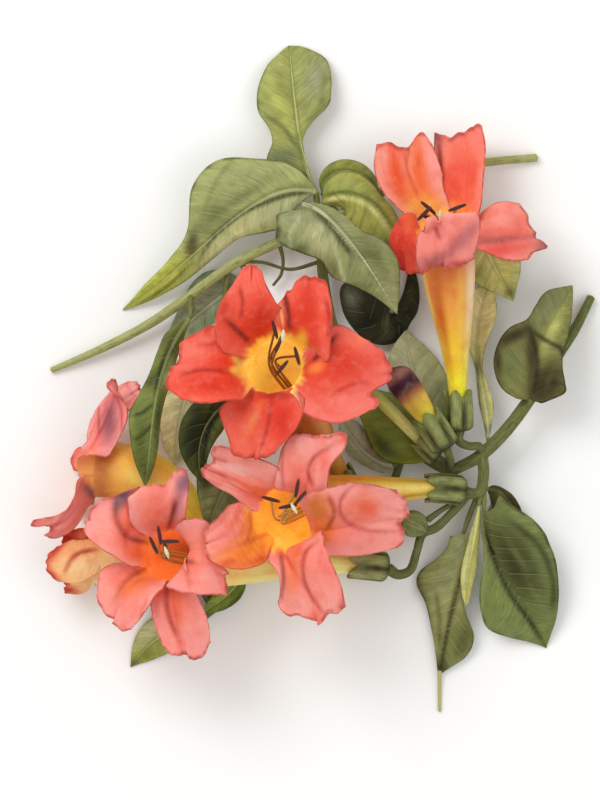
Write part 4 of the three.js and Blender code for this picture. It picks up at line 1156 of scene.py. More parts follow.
    def colours(self, shares: Array, angle: Array, lateral: Array, lobes: list[Array]) -> tuple[Array, ...]:
        """Tints and values of the tube and then of every lobe.

        The tube runs through its list of tones outside and from the deep tone to the
        throat tone inside. A lobe runs from throat over centre to margin inside, and
        from the tube's last tone to the outside tone on its back. The tube has washes on
        both sides. A lobe has washes on its inside, and its paint covers both sides.

        Args:
            shares: rows of the tube, as shares of its length.
            angle: angles round the tube.
            lateral: how far each point of the tube lies to the left, -1 to 1, seen from above.
            lobes: the middle surfaces of the lobes.

        Returns:
            Inner tint, outer tint, closeness to the margin, painted throat light and pattern coordinates.
        """
        s, w = np.meshgrid(shares, np.cos(angle), indexing="ij")
        tones = np.array([linear(c) for c in self.tube])
        outer = np.clip(sample(tones, s.ravel()).reshape(*s.shape, 3), 0, 1)
        inner = mix(linear(self.deep), linear(self.throat), smooth((s - 0.45) / 0.5)[..., None])
        # The tube's washes lay painted shade and painted highlights down its sides and round its mouth,
        # besides its own colours; the throat's washes are painted shade inside the mouth.
        for wash in self.tube_washes:
            outer = wash.over(outer, s, lateral)
        for wash in self.throat_washes:
            inner = wash.over(inner, s, lateral)
        inner_all, outer_all = [inner.reshape(-1, 3)], [outer.reshape(-1, 3)]
        # Painted throat light: the inner tube, rising from 30 % to 80 % of the way up, and each lobe's
        # throat patch get a share of emission.
        margins, painted_throat_lights = [np.zeros(s.size)], [smooth((s.ravel() - 0.3) / 0.5)]
        uvs = [np.stack([w * 1.2, s * 2], -1).reshape(-1, 2)]
        t = np.linspace(0, 1, self.lobe_rows + 1)[1:]
        a = np.linspace(-1, 1, self.sector + 1)
        gt, ga = np.meshgrid(t, a, indexing="ij")
        for n, (shape, points) in enumerate(zip(self.lobes, lobes)):
            ragged = 0.03 * np.sin(9 * ga + 2 * n) + 0.018 * np.sin(23 * ga + 3 * n)
            ragged = ragged + 0.03 * wobble(ga, gt, 3 + n)
            reach = shape.reach * self.throat_reach * (1.1 - 0.4 * ga**2)
            throat = smooth((reach + ragged - gt) / 0.16 + 0.5)
            centre = linear(shape.centre or self.centre)
            margin = linear(shape.margin or self.margin)
            outward = np.maximum(np.abs(ga) ** 1.6, gt**2.5)
            tint = mix(centre, margin, smooth(outward * 1.15)[..., None])
            tint = mix(tint, linear(self.throat), throat[..., None])
            back = mix(linear(self.tube[-1]), linear(self.outside), smooth(gt / 0.3)[..., None])
            for wash in shape.washes:
                tint = wash.over(tint, gt, ga)
            for paint in shape.paint:
                tint = paint.over(tint, points)
                back = paint.over(back, points)
            inner_all.append(tint.reshape(-1, 3))
            outer_all.append(back.reshape(-1, 3))
            margins.append(np.maximum(np.abs(ga) * smooth(gt / 0.15), gt).ravel())
            painted_throat_lights.append((throat * (1 - smooth(gt / 0.3))).ravel())
            uvs.append(np.stack([ga, gt * 1.5], -1).reshape(-1, 2))
        return tuple(np.concatenate(each) for each in (inner_all, outer_all, margins, painted_throat_lights, uvs))

    def stamens(self) -> Surface:
        """Filaments and a style that rise from one disc along the tube, with anthers at their ends."""
        shares = np.linspace(0, 1, 5)
        centres, aheads, first, second, _ = self.axis(shares)
        rise = unit(at(self.lead) - at(self.seat))
        disc = centres[0] + np.linspace(0, 1.6, 8)[:, None] * rise
        pieces = [tube_surface(disc, np.linspace(1.8, 1.4, 8), 20, linear((222, 196, 90)))]
        ends = [*self.anthers, self.stigma]
        steps = np.linspace(0, 1, FILAMENT_STEPS)
        extra = np.array([0.6, 0, 0, 0, 3])[:, None]
        away = np.array([0.9, 1.4, 1.4, 1.4, 1.4])[:, None]
        for k, end in enumerate(ends):
            angle = 2 * np.pi * k / len(ends)
            outward = np.cos(angle) * first + np.sin(angle) * second
            places = centres + away * outward + aheads * extra
            tip = at(end[:3])
            line = through(np.vstack([places, tip]), steps)
            foot_tone, end_tone = self.filament
            tone = mix(linear(foot_tone), linear(end_tone), steps[:, None])
            pieces.append(tube_surface(line, np.full(FILAMENT_STEPS, FILAMENT_RADIUS), 9, tone))
            heading = np.radians(end[3])
            lie = unit(np.array([np.cos(heading), np.sin(heading), 0.15]))
            pieces.extend(self.anther(tip, lie) if k < len(self.anthers) else self.stigma_lobes(tip, lie))
        return Surface.merged(pieces)

    def anther(self, tip: Array, lie: Array) -> list[Surface]:
        """Two slender bent cells side by side, each a spindle whose radius is a root of a sine."""
        side = unit(np.cross(lie, [0.0, 0.0, 1.0]))
        share = np.linspace(0, 1, 22)
        radii = ANTHER_RADIUS * 0.8 * np.maximum(np.sin(np.pi * share), 0.02) ** 0.45
        cells = []
        for sign in (-1, 1):
            bend = 0.1 * (1 - (2 * share - 1) ** 2) + 0.2
            centres = tip + lie * ((share - 0.5) * ANTHER_LENGTH)[:, None] + side * (sign * bend)[:, None]
            cells.append(tube_surface(centres, radii, 12, linear(self.anther_tone), (2, 0.1)))
        return cells

    def stigma_lobes(self, tip: Array, lie: Array) -> list[Surface]:
        """A pale leaf-like stigma of two lips."""
        share = np.linspace(0, 1, 18)
        radii = STIGMA_RADIUS * np.maximum(np.sin(np.pi * share), 0.02) ** 0.6
        centres = tip + lie * ((share - 0.5) * STIGMA_LENGTH)[:, None]
        return [tube_surface(centres, radii, 12, linear((226, 226, 190)), (2, 0.18))]


@dataclass(frozen=True)
class Bud(Flower):
    """A closed bud: a ribbed club that stands in its calyx."""

    swell: float = 4.0
    tones: tuple[Colour, ...] = ((225, 210, 110), (190, 170, 70), (110, 60, 50), (60, 30, 45))

    def radius(self, share: Array) -> Array:
        """From the foot to the swell, closed by a dome over the last sixth."""
        share = np.asarray(share, float)
        dome = np.sqrt(np.clip(1 - (np.clip(share - 0.84, 0, None) / 0.165) ** 2, 0, 1))
        return mix(TUBE_FOOT_RADIUS * self.size, self.swell, smooth((share - 0.2) / 0.55)) * dome

    def club(self) -> Surface:
        """The bud's skin with five soft folds."""
        shares = np.linspace(0, 1, 70)
        centres, _, _, _, _ = self.axis(shares)
        radii = np.maximum(self.radius(shares), 0.05)
        tones = np.clip(sample(np.array([linear(c) for c in self.tones]), shares), 0, 1)
        return tube_surface(centres, radii, 60, tones, (5, 0.045))


@dataclass(frozen=True)
class Stem:
    """The woody branches with every stalk, petiole and calyx that grows on them."""

    branches: dict[str, Run]
    stalks: dict[str, Run]
    spent: Run
    style: Run
    tone: Colour = (104, 110, 58)
    vine_tone: Colour = (172, 174, 110)
    stalk_tone: Colour = (98, 104, 56)
    spent_tone: Colour = (120, 128, 78)

    @staticmethod
    def run(places: tuple, sides: int, tone: Colour, ribs: tuple[int, float]) -> Surface:
        """A branch through its places, a little uneven in its thickness."""
        given = np.array(places)
        length = np.sum(np.linalg.norm(np.diff(at(given[:, :3]), axis=0), axis=1))
        count = max(int(length / BRANCH_STEP), 12)
        share = np.linspace(0, 1, count)
        centres = through(at(given[:, :3]), share)
        radii = sample(given[:, 3], share) * (1 + 0.04 * wobble(share * length / 30, 0 * share, len(places)))
        return tube_surface(centres, radii, sides, linear(tone), ribs)

    def surface(self, leaves: list[Leaf], flowers: list[Flower]) -> Surface:
        """All of it as one surface."""
        tones = {"vine": self.vine_tone}
        parts = [self.run(p, 22, tones.get(key, self.tone), (6, 0.05)) for key, p in self.branches.items()]
        parts += [self.run(p, 16, self.stalk_tone, (5, 0.05)) for p in self.stalks.values()]
        parts += [self.run(p, 40, self.spent_tone, (5, 0.08)) for p in (self.spent, self.style)]
        parts += [leaf.petiole() for leaf in leaves]
        parts += [flower.calyx() for flower in flowers]
        return Surface.merged(parts)


BRANCHES = {
    "vine": (
        (51, 370, 1, 1.1), (100, 349, 3.6, 1.5), (150, 323, 6, 1.8), (192, 294, 7.5, 1.9),
        (232, 265, 8, 1.9), (278, 242, 8, 1.9), (325, 222, 8, 1.9), (385, 190, 7.5, 1.7),
        (430, 173, 6, 1.6), (485, 162, 3.6, 1.5), (537, 157, 1.4, 1.5),
    ),
    "link": (
        (325, 222, 8, 1.9), (322, 262, 6.5, 2), (334, 330, 4.5, 2.1), (365, 395, 4, 2.1),
        (405, 443, 4.8, 2.2), (430, 460, 6.5, 2.2), (450, 472, 10, 2.1),
    ),
    "cane": (
        (592, 297, 1.5, 1.6), (575, 330, 4.5, 1.9), (552, 365, 9, 2.1), (528, 402, 12, 2.3),
        (505, 432, 13, 2.4), (480, 456, 12, 2.3), (450, 472, 10, 2),
    ),
    "lowerArm": ((482, 454, 12, 2.2), (484, 474, 12, 2.1), (479, 493, 13, 1.9), (464, 493, 14, 1.7)),
}

STALKS = {
    "upright": (
        (482, 455, 12, 1.5), (480, 447, 15, 1.5), (468, 446, 17, 1.5), (459, 441, 17, 1.6),
        (459, 430, 17, 2),
    ),
    "hidden": (
        (404, 442, 4.8, 1.6), (398, 470, 4.5, 1.5), (385, 500, 4.5, 1.5), (350, 528, 3, 1.3),
        (310, 545, 2.6, 1.2), (272, 556, 3, 1.2), (240, 562, 3, 1.2),
    ),
    "red": ((385, 500, 4.5, 1.4), (371, 516, 4.4, 1.4), (359, 518, 5, 1.6), (352, 505, 6, 2)),
    "right": ((479, 493, 13, 1.6), (470, 493, 13.6, 1.8), (464, 491, 14, 2)),
    "low": (
        (470, 494, 13, 1.4), (452, 513, 12.4, 1.5), (436, 528, 12, 1.6), (423, 534, 11, 1.6),
        (417, 552, 9.5, 1.5), (410, 571, 9, 1.6), (398, 575, 9.5, 1.8), (388, 569, 10, 2),
    ),
    "far": (
        (272, 556, 3, 1.1), (240, 562, 3, 1.1), (230, 578, 2.8, 1.1), (223, 598, 3, 1.1),
        (211, 603, 4, 1.3), (205, 591, 5.1, 1.9),
    ),
    "half": ((224, 596, 3, 1.1), (212, 612, 3.4, 1.1), (198, 616, 4.6, 1.3), (187, 609, 6, 1.7)),
    "bud": ((449, 472, 10, 1.3), (451, 462, 17, 1.3), (447, 449, 23, 1.5)),
    "youngBud": ((447, 470, 10, 1), (445, 462, 13.5, 1), (437, 457, 15.5, 1.2)),
    "twig": ((456, 502, 12.4, 1), (442, 510, 12.4, 0.9), (428, 520, 12.4, 1.2)),
    "loop": ((240, 262, 8, 0.7), (262, 262, 7, 0.6), (290, 269, 5.5, 0.6), (318, 262, 6.5, 0.7)),
    "hook": ((279, 243, 8, 0.8), (283, 260, 6, 0.6), (281, 274, 4.5, 0.6), (273, 285, 3, 0.5)),
}

# The leaves' tones, washes and paint hold their own greens and veins, and also painted shade and painted
# highlights: darker folds, creases and hollows where shade falls, and paler streaks and patches where light
# falls.
LEAVES = [
    Leaf(
        "leaf_top", Slot.LEAF_LIGHT, base=(314, 188, 10), lead=(297, 150, 13), turn=(295, 100, 8),
        tip=(289, 45, 0.2), blunt=0.12, left=(0.8, 2.5, 12.5, 12.8, 9.8, 10.4, 13.1, 13.2, 11.4, 8, 3.5),
        right=(0.6, 0.8, 0.6, 0.6, 1.4, 5.8, 11.8, 13.4, 13.8, 12.6, 9), tone=(150, 156, 92),
        start=(320, 222, 9), fold=8, curl=0.1, wave=(0.6, 2.4, 0.2), veins=7,
        paint=(
            Patch((148, 150, 132), 0.75, (316, 76), 8, 4.5, 80),
            Patch((188, 192, 104), 0.6, (280, 105), 10, 2.2, 117),
            Patch((176, 182, 112), 0.5, (272, 70), 7, 3, 70),
            Stroke((98, 102, 62), 0.65, ((266, 116), (284, 128), (300, 152)), 0.9, 0.3),
            # Painted shade round the blade's neck, darkest under its fold.
            Patch((108, 118, 88), 0.85, (284, 157), 6, 4, 0, 1.5),
            Patch((70, 66, 48), 0.9, (301, 176), 5, 1.7, -40),
            Stroke((50, 46, 34), 0.85, ((270, 163), (286, 171), (304, 176)), 0.8),
            Stroke((120, 126, 84), 0.6, ((325, 70), (322, 100), (308, 130)), 1.4),
        ),
    ),
    Leaf(
        "leaf_upper_left", Slot.LEAF_GREEN, base=(317, 192, 14), lead=(255, 172, 20), turn=(200, 262, 16),
        tip=(122, 310, 0.2), left=(0.8, 7, 12, 10.5, 6.4, 6, 5.6, 3.5, 0.6),
        right=(0.8, 8.5, 14, 20, 18, 7.5, 4.2, 3, 0.6), tone=(164, 170, 114), start=(312, 226, 9), fold=2,
        roll=(0, -15), curl=0.14, wave=(0.9, 2, 0.1), veins=9,
        paint=(
            # Painted shade on the darker lower left and along the midrib fold, a painted highlight along the
            # top, and a painted shadow in the fold near the tip.
            Patch((112, 122, 80), 0.7, (212, 218), 10, 5, 55),
            Patch((152, 162, 122), 0.6, (248, 176), 14, 3, 8),
            Patch((184, 190, 150), 0.9, (282, 209), 14, 3.6, 24, 1.5),
            Patch((192, 192, 146), 0.9, (228, 240), 12, 4.2, 40, 1.5),
            Patch((96, 104, 66), 0.6, (240, 198), 14, 1.8, 32),
            Stroke(
                (64, 66, 40), 0.85,
                ((312, 193), (290, 195), (265, 203), (240, 215), (215, 236), (198, 262)), 0.9, 0.7,
            ),
            Stroke((120, 130, 84), 0.6, ((232, 160), (214, 185), (200, 225)), 0.8),
            Patch((62, 60, 40), 0.9, (191, 248), 5.5, 2, 80, 1.3),
            Patch((184, 192, 84), 0.9, (156, 282), 16, 6, 38, 2),
            Stroke((110, 112, 48), 0.6, ((190, 264), (165, 288), (135, 306)), 0.8, 0.3),
        ),
    ),
    Leaf(
        "leaf_upper_front", Slot.LEAF_GREEN, base=(302, 204, 27), lead=(330, 206, 32), turn=(368, 262, 32),
        tip=(397, 314, 24), left=(0.6, 1.6, 3.4, 4.6, 5.6, 9.5, 10, 6, 0.4),
        right=(3, 15, 17.5, 15, 12, 12.6, 7.8, 3.2, 0.4), tone=(144, 150, 108), start=(330, 219, 9),
        fold=-5, ears=(0, 11), curl=0.14, wave=(1.1, 2.6, 0.3), veins=7,
        paint=(
            # Painted shade along the midrib and on the lower left of the bag, and a painted highlight on the
            # bag.
            Stroke((60, 62, 40), 0.8, ((312, 210), (328, 224), (343, 243), (352, 256)), 1.2, 0.5),
            Patch((162, 170, 140), 0.7, (292, 218), 6, 2.6, -8),
            Patch((96, 108, 72), 0.75, (292, 246), 7, 3, -12),
            Patch((94, 104, 60), 0.75, (374, 256), 8, 3.4, -42),
            Patch((152, 162, 112), 0.6, (388, 264), 6, 1.6, -62),
            Patch((122, 136, 86), 0.6, (362, 284), 8, 3, -45),
            Patch((86, 94, 58), 0.6, (332, 268), 5, 2, -60),
            Patch((196, 196, 152), 0.8, (318, 240), 6, 3.4, -60),
            Stroke((184, 190, 156), 0.75, ((304, 214), (292, 230), (290, 252)), 0.6, -0.3),
            Stroke((184, 190, 156), 0.75, ((318, 222), (325, 238), (322, 258)), 0.6, -0.3),
            Stroke((190, 196, 160), 0.75, ((331, 232), (337, 255), (345, 284)), 0.7, -0.3),
            Stroke(
                (212, 216, 184), 0.85, ((303, 205), (322, 212), (342, 236), (368, 266), (396, 310)), 0.5,
            ),
        ),
    ),
    Leaf(
        "leaf_upper_back", Slot.LEAF_LIGHT, base=(324, 204, 10.8), lead=(340, 176, 17), turn=(384, 190, 18),
        tip=(399, 270, 12), left=(0.8, 4.5, 6.4, 7, 6, 5, 5.5, 4, 0.5),
        right=(1.5, 8, 11, 12.5, 13, 11, 10, 6, 0.5), tone=(166, 168, 92), start=(328, 220, 9), midrib=0.35,
        fold=-12, curl=0.16, wave=(0.6, 2, 0), veins=7,
        paint=(
            # A painted highlight just under the fold, and painted shade along the fold and near the tip.
            Stroke((226, 226, 160), 0.85, ((320, 202), (345, 198), (372, 209), (394, 238)), 0.9, -0.4),
            Patch((188, 194, 106), 0.75, (362, 224), 9, 3.6, -35),
            Patch((136, 148, 86), 0.6, (352, 187), 10, 3, -15),
            Stroke((84, 92, 46), 0.7, ((322, 196), (345, 192), (374, 202), (395, 230)), 0.8),
            Patch((92, 100, 50), 0.7, (388, 246), 5, 2.4, -55),
        ),
    ),
    Leaf(
        "leaf_upper_far", Slot.LEAF_DEEP, base=(322, 192, 8.6), lead=(324, 165, 9), turn=(362, 162, 11),
        tip=(379, 190, 13), left=(0.32, 2.2, 3.4, 4, 4, 3.44, 2.2, 0.24),
        right=(0.32, 2.2, 3.4, 4, 4, 3.44, 2.2, 0.24), tone=(136, 142, 74), start=(340, 214, 8.5), fold=6,
        curl=0.1, wave=(0.3, 2, 0), veins=5,
        washes=(Wash((140, 150, 72), 0.5, 0.3, 0.2, 0.4, 0.6), Wash((44, 46, 22), 0.9, 0, 0.12, 1, 0.8)),
    ),
    Leaf(
        "leaf_dark", Slot.LEAF_DEEP, base=(411, 262, 3.5), lead=(420, 335, 3.5), turn=(378, 356, 4),
        tip=(348, 280, 8), left=(0.8, 2.5, 3.4, 3, 5, 6.5, 7, 6.5, 4),
        right=(0.8, 2.5, 3.8, 4, 6.5, 9.5, 9, 8, 4), tone=(48, 50, 32), start=(372, 196, 8), midrib=0.35,
        fold=10, curl=0.16, wave=(0.9, 2.5, 0.4), veins=8, under=(60, 62, 44),
        washes=(
            # Painted highlights: the grey and paler patches on the near-black leaf.
            Wash((128, 134, 122), 0.93, 0.2, 0.05, 0.45, 0.75),
            Wash((22, 24, 16), 0.76, 0.2, 0.06, 0.7, 0.85),
            Wash((92, 100, 70), 0.6, -0.3, 0.05, 0.5, 0.6),
            Wash((24, 26, 18), 0.45, 0.3, 0.06, 0.8, 0.8),
            Wash((86, 92, 70), 0.16, 0, 0.08, 0.5, 0.5),
        ),
    ),
    Leaf(
        "leaf_behind_trumpet", Slot.LEAF_PALE, base=(447, 446, 8), lead=(428, 420, 6), turn=(408, 370, 6),
        tip=(406, 330, 8), left=(0.8, 4.5, 7.5, 9.5, 10, 9, 6, 0.6),
        right=(0.8, 5.5, 9, 11, 11, 9.5, 6, 0.6), tone=(168, 172, 132), start=(449, 470, 10), fold=5,
        curl=0.05, wave=(0.4, 2, 0), veins=6,
        washes=(
            Wash((196, 202, 180), 0.7, 0.3, 0.3, 0.5, 0.7),
            Wash((122, 132, 100), 0.4, -0.7, 0.2, 0.3, 0.7),
            Wash((70, 76, 50), 0.05, 0, 0.1, 2, 0.8),
        ),
    ),
    Leaf(
        "leaf_beside_trumpet", Slot.LEAF_PALE, base=(488, 438, 13), lead=(490, 390, 10), turn=(462, 350, 8),
        tip=(490, 282, 3.4), left=(0.6, 1.8, 2.3, 1.8, 1.4, 3, 5.5, 6, 2),
        right=(0.6, 1.8, 2.8, 2.2, 1.4, 3, 5.5, 6, 2), tone=(208, 206, 142), start=(493, 446, 13), fold=14,
        roll=(14, -10), curl=-0.1, wave=(0.9, 2.5, 0.5), veins=7, under=(150, 152, 110),
        washes=(
            Wash((232, 226, 176), 0.8, 0, 0.24, 2, 0.95),
            Wash((50, 48, 32), 0.5, 0.1, 0.06, 1, 0.85),
            Wash((58, 58, 36), 0.3, 0.9, 0.2, 0.3, 0.8),
            Wash((170, 176, 130), 0.26, -0.2, 0.14, 0.25, 0.7),
            Wash((48, 46, 30), 0.04, 0, 0.06, 2, 0.8),
        ),
    ),
    Leaf(
        "leaf_under_petal", Slot.LEAF_LIGHT, base=(478, 222, 8), lead=(484, 250, 9.5), turn=(500, 275, 8.5),
        tip=(514, 301, 5), left=(0.8, 5, 8, 10, 10, 9, 7, 3.5, 0.5),
        right=(0.8, 5, 8, 9.5, 9.5, 8.5, 6, 3, 0.5), tone=(198, 198, 134), start=(466, 165, 5.5), fold=6,
        curl=0.1, wave=(0.8, 2, 0), veins=6,
        washes=(
            Wash((204, 204, 112), 0.68, 0.1, 0.1, 0.5, 0.8),
            Wash((140, 148, 84), 0.55, -0.7, 0.12, 0.4, 0.8),
            Wash((120, 122, 58), 0.9, 0.2, 0.08, 0.7, 0.8),
        ),
    ),
    Leaf(
        "leaf_right", Slot.LEAF_BRONZE, base=(530, 399, 18), lead=(524, 360, 24), turn=(548, 330, 22),
        tip=(573, 285, 8), left=(1, 9.5, 13.3, 14, 12.6, 8.2, 7.8, 7, 0.8),
        right=(1, 12.5, 13, 10.9, 9.1, 8.2, 6.4, 3.6, 0.6), tone=(124, 126, 76), start=(525, 405, 12),
        midrib=0.35, fold=12, ears=(2, 4), curl=0.18, wave=(1, 2, 0.2), veins=7, under=(110, 112, 74),
        paint=(
            Patch((54, 48, 26), 1, (514, 336), 7, 2.4, 28, 1.3),
            Patch((56, 50, 26), 1, (546, 384), 8.5, 5.6, 60, 1.4),
            Patch((60, 54, 30), 1, (532, 356), 9, 2.4, 95),
            Patch((104, 116, 72), 0.85, (511, 362), 6, 3.6, 82),
            Patch((66, 60, 34), 1, (498, 362), 7.5, 1.6, 92),
            Patch((96, 92, 58), 0.6, (550, 378), 5, 1.2, 70),
            Patch((184, 188, 116), 0.9, (554, 328), 10, 2.4, 66),
            Patch((128, 140, 104), 0.7, (548, 304), 8, 3.6, 52),
            Stroke((46, 42, 24), 0.85, ((528, 328), (536, 350), (537, 374), (533, 396)), 1, 0.5),
            Stroke((44, 42, 24), 0.75, ((528, 328), (545, 340), (560, 348), (563, 358)), 0.9),
        ),
    ),
    Leaf(
        "leaf_lower_left", Slot.LEAF_GREEN, base=(464, 534, 8), lead=(471, 575, 9), turn=(455, 610, 8.5),
        tip=(439, 676, 1.6), left=(2.5, 2.2, 1.7, 1, 0.8, 4, 8.3, 7.4, 0.8),
        right=(5, 7, 11.3, 15.5, 16, 11.5, 7.7, 3.8, 0.6), tone=(150, 152, 98), start=(481, 490, 12),
        midrib=0.35, fold=-6, roll=(0, 8), curl=0.2, wave=(1, 1.6, 0.15), veins=7,
        tendril=((440, 672, 1.9, 0.8), (440, 692, 0.8, 0.7), (440, 712, 0.6, 0.6)),
        paint=(
            # A painted highlight band down the blade, and painted shade to its left.
            Patch((150, 158, 120), 0.8, (446, 578), 13, 3.8, 68),
            Patch((60, 60, 32), 0.95, (422, 606), 9, 1.9, 100),
            Patch((82, 84, 44), 0.9, (462, 640), 9, 4.5, 62),
            Patch((116, 128, 74), 0.65, (456, 638), 7, 1.5, 66),
            Patch((160, 168, 130), 0.8, (460, 546), 5, 3, 70),
            Stroke((50, 50, 28), 0.85, ((468, 556), (456, 596), (447, 636), (441, 670)), 0.9, 0.5),
            Stroke((86, 92, 54), 0.6, ((436, 590), (440, 620), (440, 650)), 0.9),
            Patch((50, 46, 26), 0.85, (441, 668), 3.4, 2.6, 90),
        ),
    ),
    Leaf(
        "leaf_lower_strip", Slot.LEAF_LIGHT, base=(479, 506, 13.5), lead=(476, 545, 13.5),
        turn=(464, 575, 11), tip=(467, 608, 9), left=(0.5, 1.2, 1.9, 2.3, 2.6, 2.4, 1.6, 0.3),
        right=(0.5, 1.2, 1.9, 2.3, 2.6, 2.4, 1.6, 0.3), tone=(192, 190, 116), start=(483, 484, 12), fold=14,
        curl=0.1, wave=(0.2, 2, 0), veins=4,
        washes=(
            Wash((222, 222, 168), 0.5, -0.4, 0.4, 0.4, 0.7),
            Wash((120, 124, 60), 0.3, 0.9, 0.4, 0.4, 0.7),
        ),
    ),
    Leaf(
        "leaf_lower_right", Slot.LEAF_GREEN, base=(484, 511, 13), lead=(481, 560, 17), turn=(522, 583, 12),
        tip=(547, 649, 0.2), left=(5, 12, 17.5, 19.5, 19, 17.5, 13.5, 8, 0.5),
        right=(0.8, 1.3, 2.2, 5, 10.5, 14.5, 15.5, 10, 0.5), tone=(116, 128, 78), start=(484, 480, 12),
        midrib=0.35, fold=8, ears=(7, 0), curl=0.14, wave=(1, 2, 0.6), veins=9,
        paint=(
            Patch((54, 56, 24), 1, (516, 562), 16, 6.4, -62, 1.3),
            Patch((124, 132, 84), 0.55, (518, 556), 8, 1.3, -58),
            Patch((112, 120, 72), 0.5, (534, 592), 7, 1.3, -62),
            Patch((122, 136, 76), 0.75, (500, 606), 12, 4.6, -70),
            Patch((128, 142, 88), 0.6, (518, 630), 7, 2.6, -20),
            Stroke((44, 42, 22), 0.9, ((486, 516), (491, 550), (508, 590), (529, 620), (546, 647)), 1, 0.6),
            Stroke((58, 58, 28), 0.75, ((506, 518), (538, 545), (553, 580), (553, 612)), 1.2),
            # A painted highlight streak down the middle of the blade.
            Stroke((150, 158, 108), 0.5, ((484, 540), (484, 580), (478, 610)), 0.8),
        ),
    ),
    Leaf(
        "leaf_lower_back", Slot.LEAF_BRONZE, base=(488, 490, 9.5), lead=(500, 487, 8.5), turn=(511, 498, 7),
        tip=(523, 525, 4), left=(0.6, 1.4, 1.6, 1.8, 2.2, 2.2, 1.8, 0.5),
        right=(3, 8.5, 9, 8, 6, 4, 2, 0.5), tone=(76, 70, 36), start=(484, 480, 11), fold=4, curl=0.1,
        wave=(0.3, 2, 0), veins=4,
        washes=(Wash((122, 122, 72), 0.4, 0, 0.16, 0.4, 0.5), Wash((44, 38, 20), 0.8, 0.4, 0.2, 0.6, 0.7)),
    ),
    Leaf(
        "leaf_left_hanging", Slot.LEAF_DEEP, base=(190, 318, 22), lead=(152, 366, 32), turn=(154, 420, 33),
        tip=(145, 488, 27), left=(0.7, 2.4, 3.4, 4, 3.2, 2.8, 3, 2.4, 0.4),
        right=(0.7, 4, 4, 4.2, 6, 8.5, 7.2, 4.8, 0.4), tone=(130, 142, 72), start=(190, 296, 8), fold=-8,
        curl=0.2, wave=(0.9, 3, 0.1), veins=8,
        washes=(
            Wash((66, 66, 34), 0.16, 0, 0.14, 1.5, 0.8),
            Wash((40, 50, 24), 0.62, 0.55, 0.2, 0.4, 0.9),
            Wash((122, 140, 82), 0.6, -0.5, 0.12, 0.3, 0.7),
            Wash((48, 56, 28), 0.42, -0.6, 0.06, 0.5, 0.8),
            Wash((132, 142, 96), 0.34, 0.5, 0.1, 0.4, 0.6),
            Wash((50, 54, 26), 0.92, 0, 0.08, 1, 0.7),
        ),
        paint=(
            Patch((60, 70, 32), 0.6, (142, 440), 10, 2.6, 88),
            Stroke((126, 140, 92), 0.7, ((168, 372), (155, 400), (151, 440), (147, 478)), 0.6),
            Stroke((40, 44, 22), 0.7, ((153, 404), (144, 412), (134, 416)), 0.7, 0.3),
            Stroke((40, 44, 22), 0.7, ((152, 424), (144, 434), (134, 440)), 0.7, 0.3),
            Stroke((44, 50, 26), 0.8, ((174, 344), (162, 366), (156, 392)), 1),
        ),
    ),
    Leaf(
        "leaf_left_pale", Slot.LEAF_PALE, base=(220, 320, 4), lead=(190, 370, 3.5), turn=(175, 420, 2.6),
        tip=(174, 466, 1.4), left=(0.64, 4.4, 6.8, 8, 8, 6.9, 4.4, 0.5),
        right=(0.64, 4.4, 6.8, 8, 8, 6.9, 4.4, 0.5), tone=(230, 230, 184), start=(228, 269, 7), fold=3,
        curl=0.05, wave=(0.3, 2, 0), veins=7,
        washes=(
            Wash((192, 200, 184), 0.75, 0.2, 0.3, 0.3, 0.7),
            Wash((110, 122, 96), 0.8, 0.7, 0.2, 0.3, 0.7),
        ),
    ),
    Leaf(
        "leaf_centre_left", Slot.LEAF_DEEP, base=(252, 392, 24), lead=(215, 400, 28), turn=(188, 435, 30),
        tip=(203, 484, 27), left=(0.8, 4, 5, 5.5, 6, 5.2, 4, 2.4, 0.4),
        right=(0.8, 3, 5, 7.5, 8.5, 8.4, 7, 4, 0.4), tone=(72, 84, 34), start=(330, 310, 6), fold=10,
        curl=0.08, wave=(1, 2.4, 0.3), veins=8,
        washes=(
            Wash((24, 30, 14), 0.5, 0.1, 0.16, 0.3, 0.9),
            Wash((102, 118, 66), 0.62, 0.7, 0.16, 0.3, 0.7),
            Wash((98, 110, 56), 0.34, -0.6, 0.12, 0.3, 0.7),
            Wash((32, 40, 18), 0.72, -0.5, 0.1, 0.4, 0.8),
        ),
        paint=(
            Patch((26, 30, 16), 0.85, (196, 430), 10, 3.4, 80, 1.3),
            Patch((112, 124, 70), 0.8, (226, 416), 7, 3, 40),
            Stroke((20, 24, 12), 0.8, ((232, 404), (212, 424), (204, 456), (202, 480)), 0.9, 0.4),
            Stroke((36, 44, 22), 0.7, ((214, 402), (206, 420), (192, 436)), 0.8),
        ),
    ),
    Leaf(
        "leaf_centre_low", Slot.LEAF_DEEP, base=(240, 466, 19), lead=(227, 480, 22), turn=(214, 505, 22.5),
        tip=(207, 534, 21), left=(0.8, 5, 8, 9, 8, 5.5, 3, 0.4),
        right=(0.8, 6, 10, 10.5, 8.5, 5.5, 2.5, 0.4), tone=(128, 138, 92), start=(345, 360, 5), fold=6,
        curl=0.05, wave=(0.5, 2, 0), veins=6,
        washes=(
            Wash((104, 122, 92), 0.5, 0.4, 0.2, 0.4, 0.7),
            Wash((44, 56, 34), 0.4, -0.75, 0.2, 0.3, 0.8),
            Wash((56, 62, 34), 0.92, 0, 0.1, 1, 0.7),
        ),
    ),
    Leaf(
        "leaf_centre_right", Slot.LEAF_DEEP, base=(434, 461, 10.2), lead=(420, 440, 11),
        turn=(392, 412, 11), tip=(352, 388, 10), left=(0.8, 7, 11.5, 13.5, 13, 10, 6, 0.5),
        right=(0.8, 4, 6, 7.5, 7.5, 6.5, 4, 0.5), tone=(136, 150, 62), start=(448, 471, 9.6), fold=4,
        curl=0.05, wave=(0.5, 2, 0.3), veins=7,
        washes=(
            Wash((104, 120, 62), 0.55, 0.35, 0.2, 0.2, 0.75),
